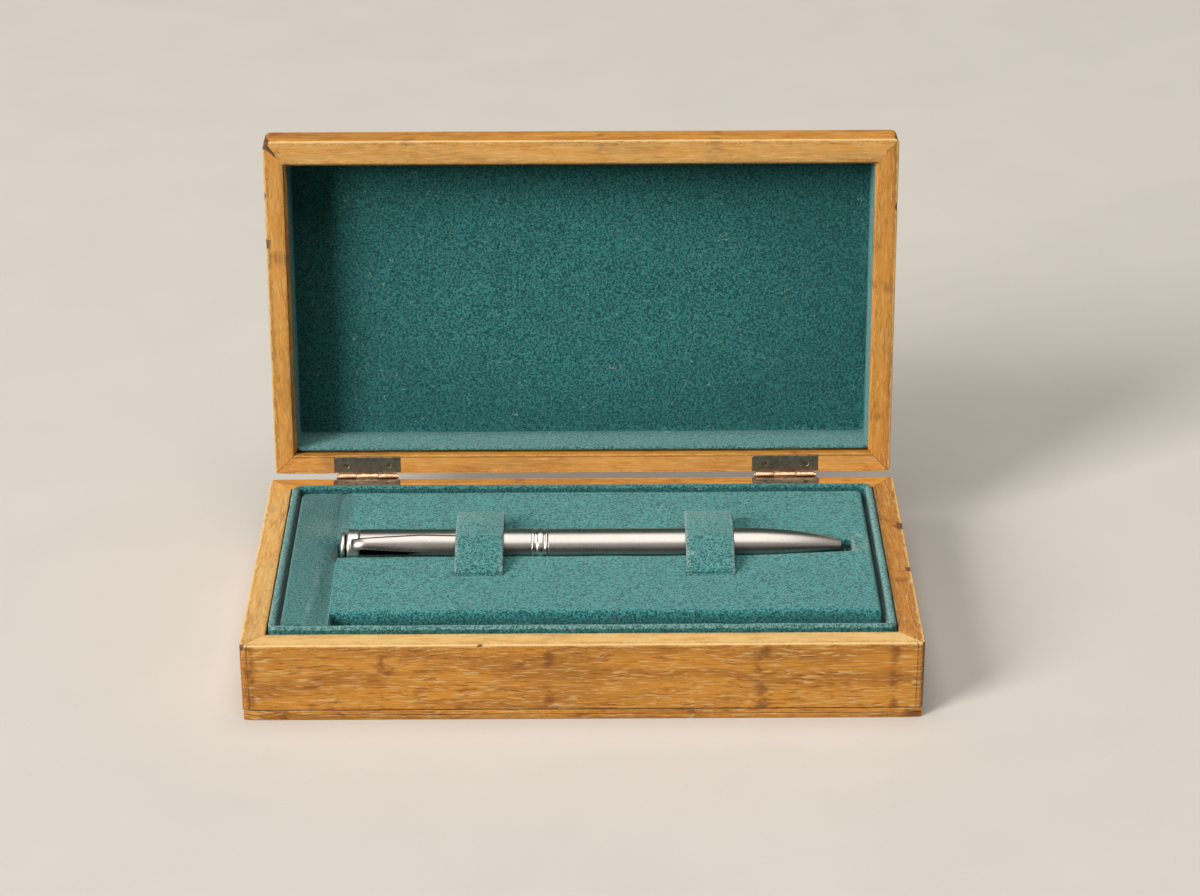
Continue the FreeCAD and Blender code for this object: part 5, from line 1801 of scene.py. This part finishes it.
def add_camera():
    data = bpy.data.cameras.new("camera")
    data.lens = CAMERA_LENS
    data.sensor_width = 36.0
    data.clip_start, data.clip_end = 0.01, 50.0
    camera = bpy.data.objects.new("camera", data)
    aim = Matrix.Rotation(-CAMERA_YAW, 4, "Z") @ Matrix.Rotation(math.pi / 2 - CAMERA_PITCH, 4, "X")
    camera.matrix_world = Matrix.Translation(CAMERA_PLACE) @ aim @ Matrix.Rotation(CAMERA_ROLL, 4, "Z")
    bpy.context.scene.collection.objects.link(camera)
    bpy.context.scene.camera = camera


def add_light(name, place, target, size, power):
    data = bpy.data.lights.new(name, "AREA")
    data.shape = "RECTANGLE"
    data.size, data.size_y = size
    data.energy = power
    data.color = (1.0, 0.975, 0.94)
    light = bpy.data.objects.new(name, data)
    light.location = place
    light.rotation_euler = (Vector(target) - Vector(place)).to_track_quat("-Z", "Y").to_euler()
    bpy.context.scene.collection.objects.link(light)


def seen_directly(graph, *kinds):
    """One for rays from the camera, off metal and through glass, and zero for light that bounces."""
    rays = graph.node("LightPath").outputs
    seen = rays["Is Camera Ray"]
    for kind in kinds or ("Is Glossy Ray", "Is Transmission Ray"):
        seen = graph.math("MAXIMUM", seen, rays[kind])
    return seen


FLOOR_BOUNCE = 0.15


def floor_finish():
    stage = bpy.context.scene.box_stage

    def build(graph):
        place = graph.place()
        fibres = graph.noise(place, (1.1 * MM, 0.6 * MM, 1.0 * MM), 3.0, 0.6, 3.0)
        clouds = graph.noise(place, (34 * MM, 34 * MM, 34 * MM), 2.0, 0.5, 8.0)
        shade = graph.total(graph.product(fibres, 0.5), graph.product(clouds, 0.6))
        tint = graph.mix(graph.ramp(shade, 0.30, 0.80), rgba(stage.floor, 0.975), rgba(stage.floor, 1.02))
        tint = graph.mix(seen_directly(graph), rgba(stage.floor, FLOOR_BOUNCE), tint)
        return {"Base Color": tint, "Roughness": 0.95, "Normal": bump(graph, fibres, 0.10 * MM, 0.35)}

    return new_material("paper_floor", build)


def add_stage():
    stage = bpy.context.scene.box_stage
    scene = bpy.context.scene
    scene.view_settings.view_transform = "Standard"
    reach = 4.0
    lines = spaced(-reach, reach, 0.5)
    points = [Vector((x, y, 0.0)) for y in lines for x in lines]
    wide = len(lines)
    faces = []
    for j in range(wide - 1):
        row = [j * wide + i for i in range(wide)]
        faces += quad_strip(row, [n + wide for n in row], closed=False)
    mesh = bpy.data.meshes.new("paper_floor")
    mesh.from_pydata(points, [], faces)
    mesh.materials.append(floor_finish())
    floor = bpy.data.objects.new("paper_floor", mesh)
    scene.collection.objects.link(floor)

    world = bpy.data.worlds.new("studio")
    scene.world = world
    world.use_nodes = True
    world.node_tree.nodes.clear()
    graph = Graph(world.node_tree)
    rise = graph.node("SeparateXYZ", {0: graph.node("TexCoord").outputs["Generated"]}).outputs[2]
    glossy = graph.node("LightPath").outputs["Is Glossy Ray"]
    softbox = graph.ramp(rise, 0.34, 0.54, -0.98, -0.32)
    dimmed = graph.total(1.0, graph.product(glossy, softbox))
    plain = graph.node("Background", {"Color": rgba((1.0, 0.99, 0.97)), "Strength": stage.sky})
    backdrop = graph.node("Background", {"Color": rgba((0.74, 0.70, 0.64)), "Strength": dimmed})
    both = graph.node("MixShader", {0: seen_directly(graph), 1: plain.outputs[0], 2: backdrop.outputs[0]})
    graph.node("OutputWorld", {"Surface": both.outputs[0]})

    add_light("overhead", (0.0, -0.35, 4.0), (0.0, 0.0, 0.0), (3.0, 4.6), stage.overhead)
    add_light("window", (-4.02, -3.374, 2.909), (0.0, 0.0, 0.06), (1.9, 3.2), stage.window)
    add_camera()


# Operators


class PENBOX_OT_base_case(Operator):
    """Builds the four mitred boards of the base and its bottom board"""

    bl_idname = "penbox.base_case"
    bl_label = "Base Case"
    bl_options = {"REGISTER", "UNDO"}

    def execute(self, context):
        add_base_case()
        return {"FINISHED"}


class PENBOX_OT_base_lining(Operator):
    """Builds the flocked lining of the base with its proud rim"""

    bl_idname = "penbox.base_lining"
    bl_label = "Base Lining"
    bl_options = {"REGISTER", "UNDO"}

    def execute(self, context):
        add_base_lining()
        return {"FINISHED"}


class PENBOX_OT_insert(Operator):
    """Builds the flocked foam insert with its ledge, shelf and groove"""

    bl_idname = "penbox.insert"
    bl_label = "Flocked Insert"
    bl_options = {"REGISTER", "UNDO"}

    def execute(self, context):
        add_pad()
        return {"FINISHED"}


class PENBOX_OT_straps(Operator):
    """Builds the two elastic straps over the pen"""

    bl_idname = "penbox.straps"
    bl_label = "Elastic Straps"
    bl_options = {"REGISTER", "UNDO"}

    def execute(self, context):
        for side in ("left", "right"):
            add_strap(side)
        return {"FINISHED"}


class PENBOX_OT_lid_case(Operator):
    """Builds the lid's mitred boards and its rounded cover board"""

    bl_idname = "penbox.lid_case"
    bl_label = "Lid Case"
    bl_options = {"REGISTER", "UNDO"}

    def execute(self, context):
        add_lid_case()
        return {"FINISHED"}


class PENBOX_OT_lid_lining(Operator):
    """Builds the flocked lining of the lid"""

    bl_idname = "penbox.lid_lining"
    bl_label = "Lid Lining"
    bl_options = {"REGISTER", "UNDO"}

    def execute(self, context):
        add_lid_lining()
        return {"FINISHED"}


class PENBOX_OT_hinges(Operator):
    """Builds the hinge leaves with rolled knuckles, and their slotted screws"""

    bl_idname = "penbox.hinges"
    bl_label = "Hinges"
    bl_options = {"REGISTER", "UNDO"}

    def execute(self, context):
        for leaf in ("base", "lid"):
            for side in ("left", "right"):
                add_leaf(side, leaf)
            add_screws(leaf)
        return {"FINISHED"}


class PENBOX_OT_pen(Operator):
    """Builds the pen's finial, clip, tubes and beaded band"""

    bl_idname = "penbox.pen"
    bl_label = "Pen"
    bl_options = {"REGISTER", "UNDO"}

    def execute(self, context):
        add_pen_top()
        add_pen_lower()
        return {"FINISHED"}


class PENBOX_OT_inner_pieces(Operator):
    """Gives the pieces that stay as packed their finishes"""

    bl_idname = "penbox.inner_pieces"
    bl_label = "Inner Pieces"
    bl_options = {"REGISTER", "UNDO"}

    def execute(self, context):
        paint_inner_pieces()
        return {"FINISHED"}


class PENBOX_OT_stage(Operator):
    """Builds the floor, the lights and the camera"""

    bl_idname = "penbox.stage"
    bl_label = "Stage"
    bl_options = {"REGISTER", "UNDO"}

    def execute(self, context):
        add_stage()
        return {"FINISHED"}


OPERATORS = (
    PENBOX_OT_base_case,
    PENBOX_OT_base_lining,
    PENBOX_OT_insert,
    PENBOX_OT_lid_case,
    PENBOX_OT_lid_lining,
    PENBOX_OT_pen,
    PENBOX_OT_straps,
    PENBOX_OT_hinges,
    PENBOX_OT_inner_pieces,
    PENBOX_OT_stage,
)
SETTINGS = {
    "box_wood": WoodSettings,
    "box_flock": FlockSettings,
    "box_metal": MetalSettings,
    "box_stage": StageSettings,
}


class PENBOX_PT_sidebar(Panel):
    """Lists the steps that build the pen box"""

    bl_idname = "PENBOX_PT_sidebar"
    bl_label = "Pen Box"
    bl_space_type = "VIEW_3D"
    bl_region_type = "UI"
    bl_category = "Pen Box"

    def draw(self, context):
        for name, group in SETTINGS.items():
            column = self.layout.column(align=True)
            for key in group.__annotations__:
                column.prop(getattr(context.scene, name), key)
        for operator in OPERATORS:
            self.layout.operator(operator.bl_idname)


def register():
    for kind in (*SETTINGS.values(), *OPERATORS, PENBOX_PT_sidebar):
        bpy.utils.register_class(kind)
    for name, group in SETTINGS.items():
        setattr(bpy.types.Scene, name, PointerProperty(type=group))


def unregister():
    for name in SETTINGS:
        delattr(bpy.types.Scene, name)
    for kind in (PENBOX_PT_sidebar, *OPERATORS[::-1], *SETTINGS.values()):
        bpy.utils.unregister_class(kind)


def main():
    register()
    for operator in OPERATORS:
        group, name = operator.bl_idname.split(".")
        getattr(getattr(bpy.ops, group), name)()


if __name__ == "__main__":
    main()
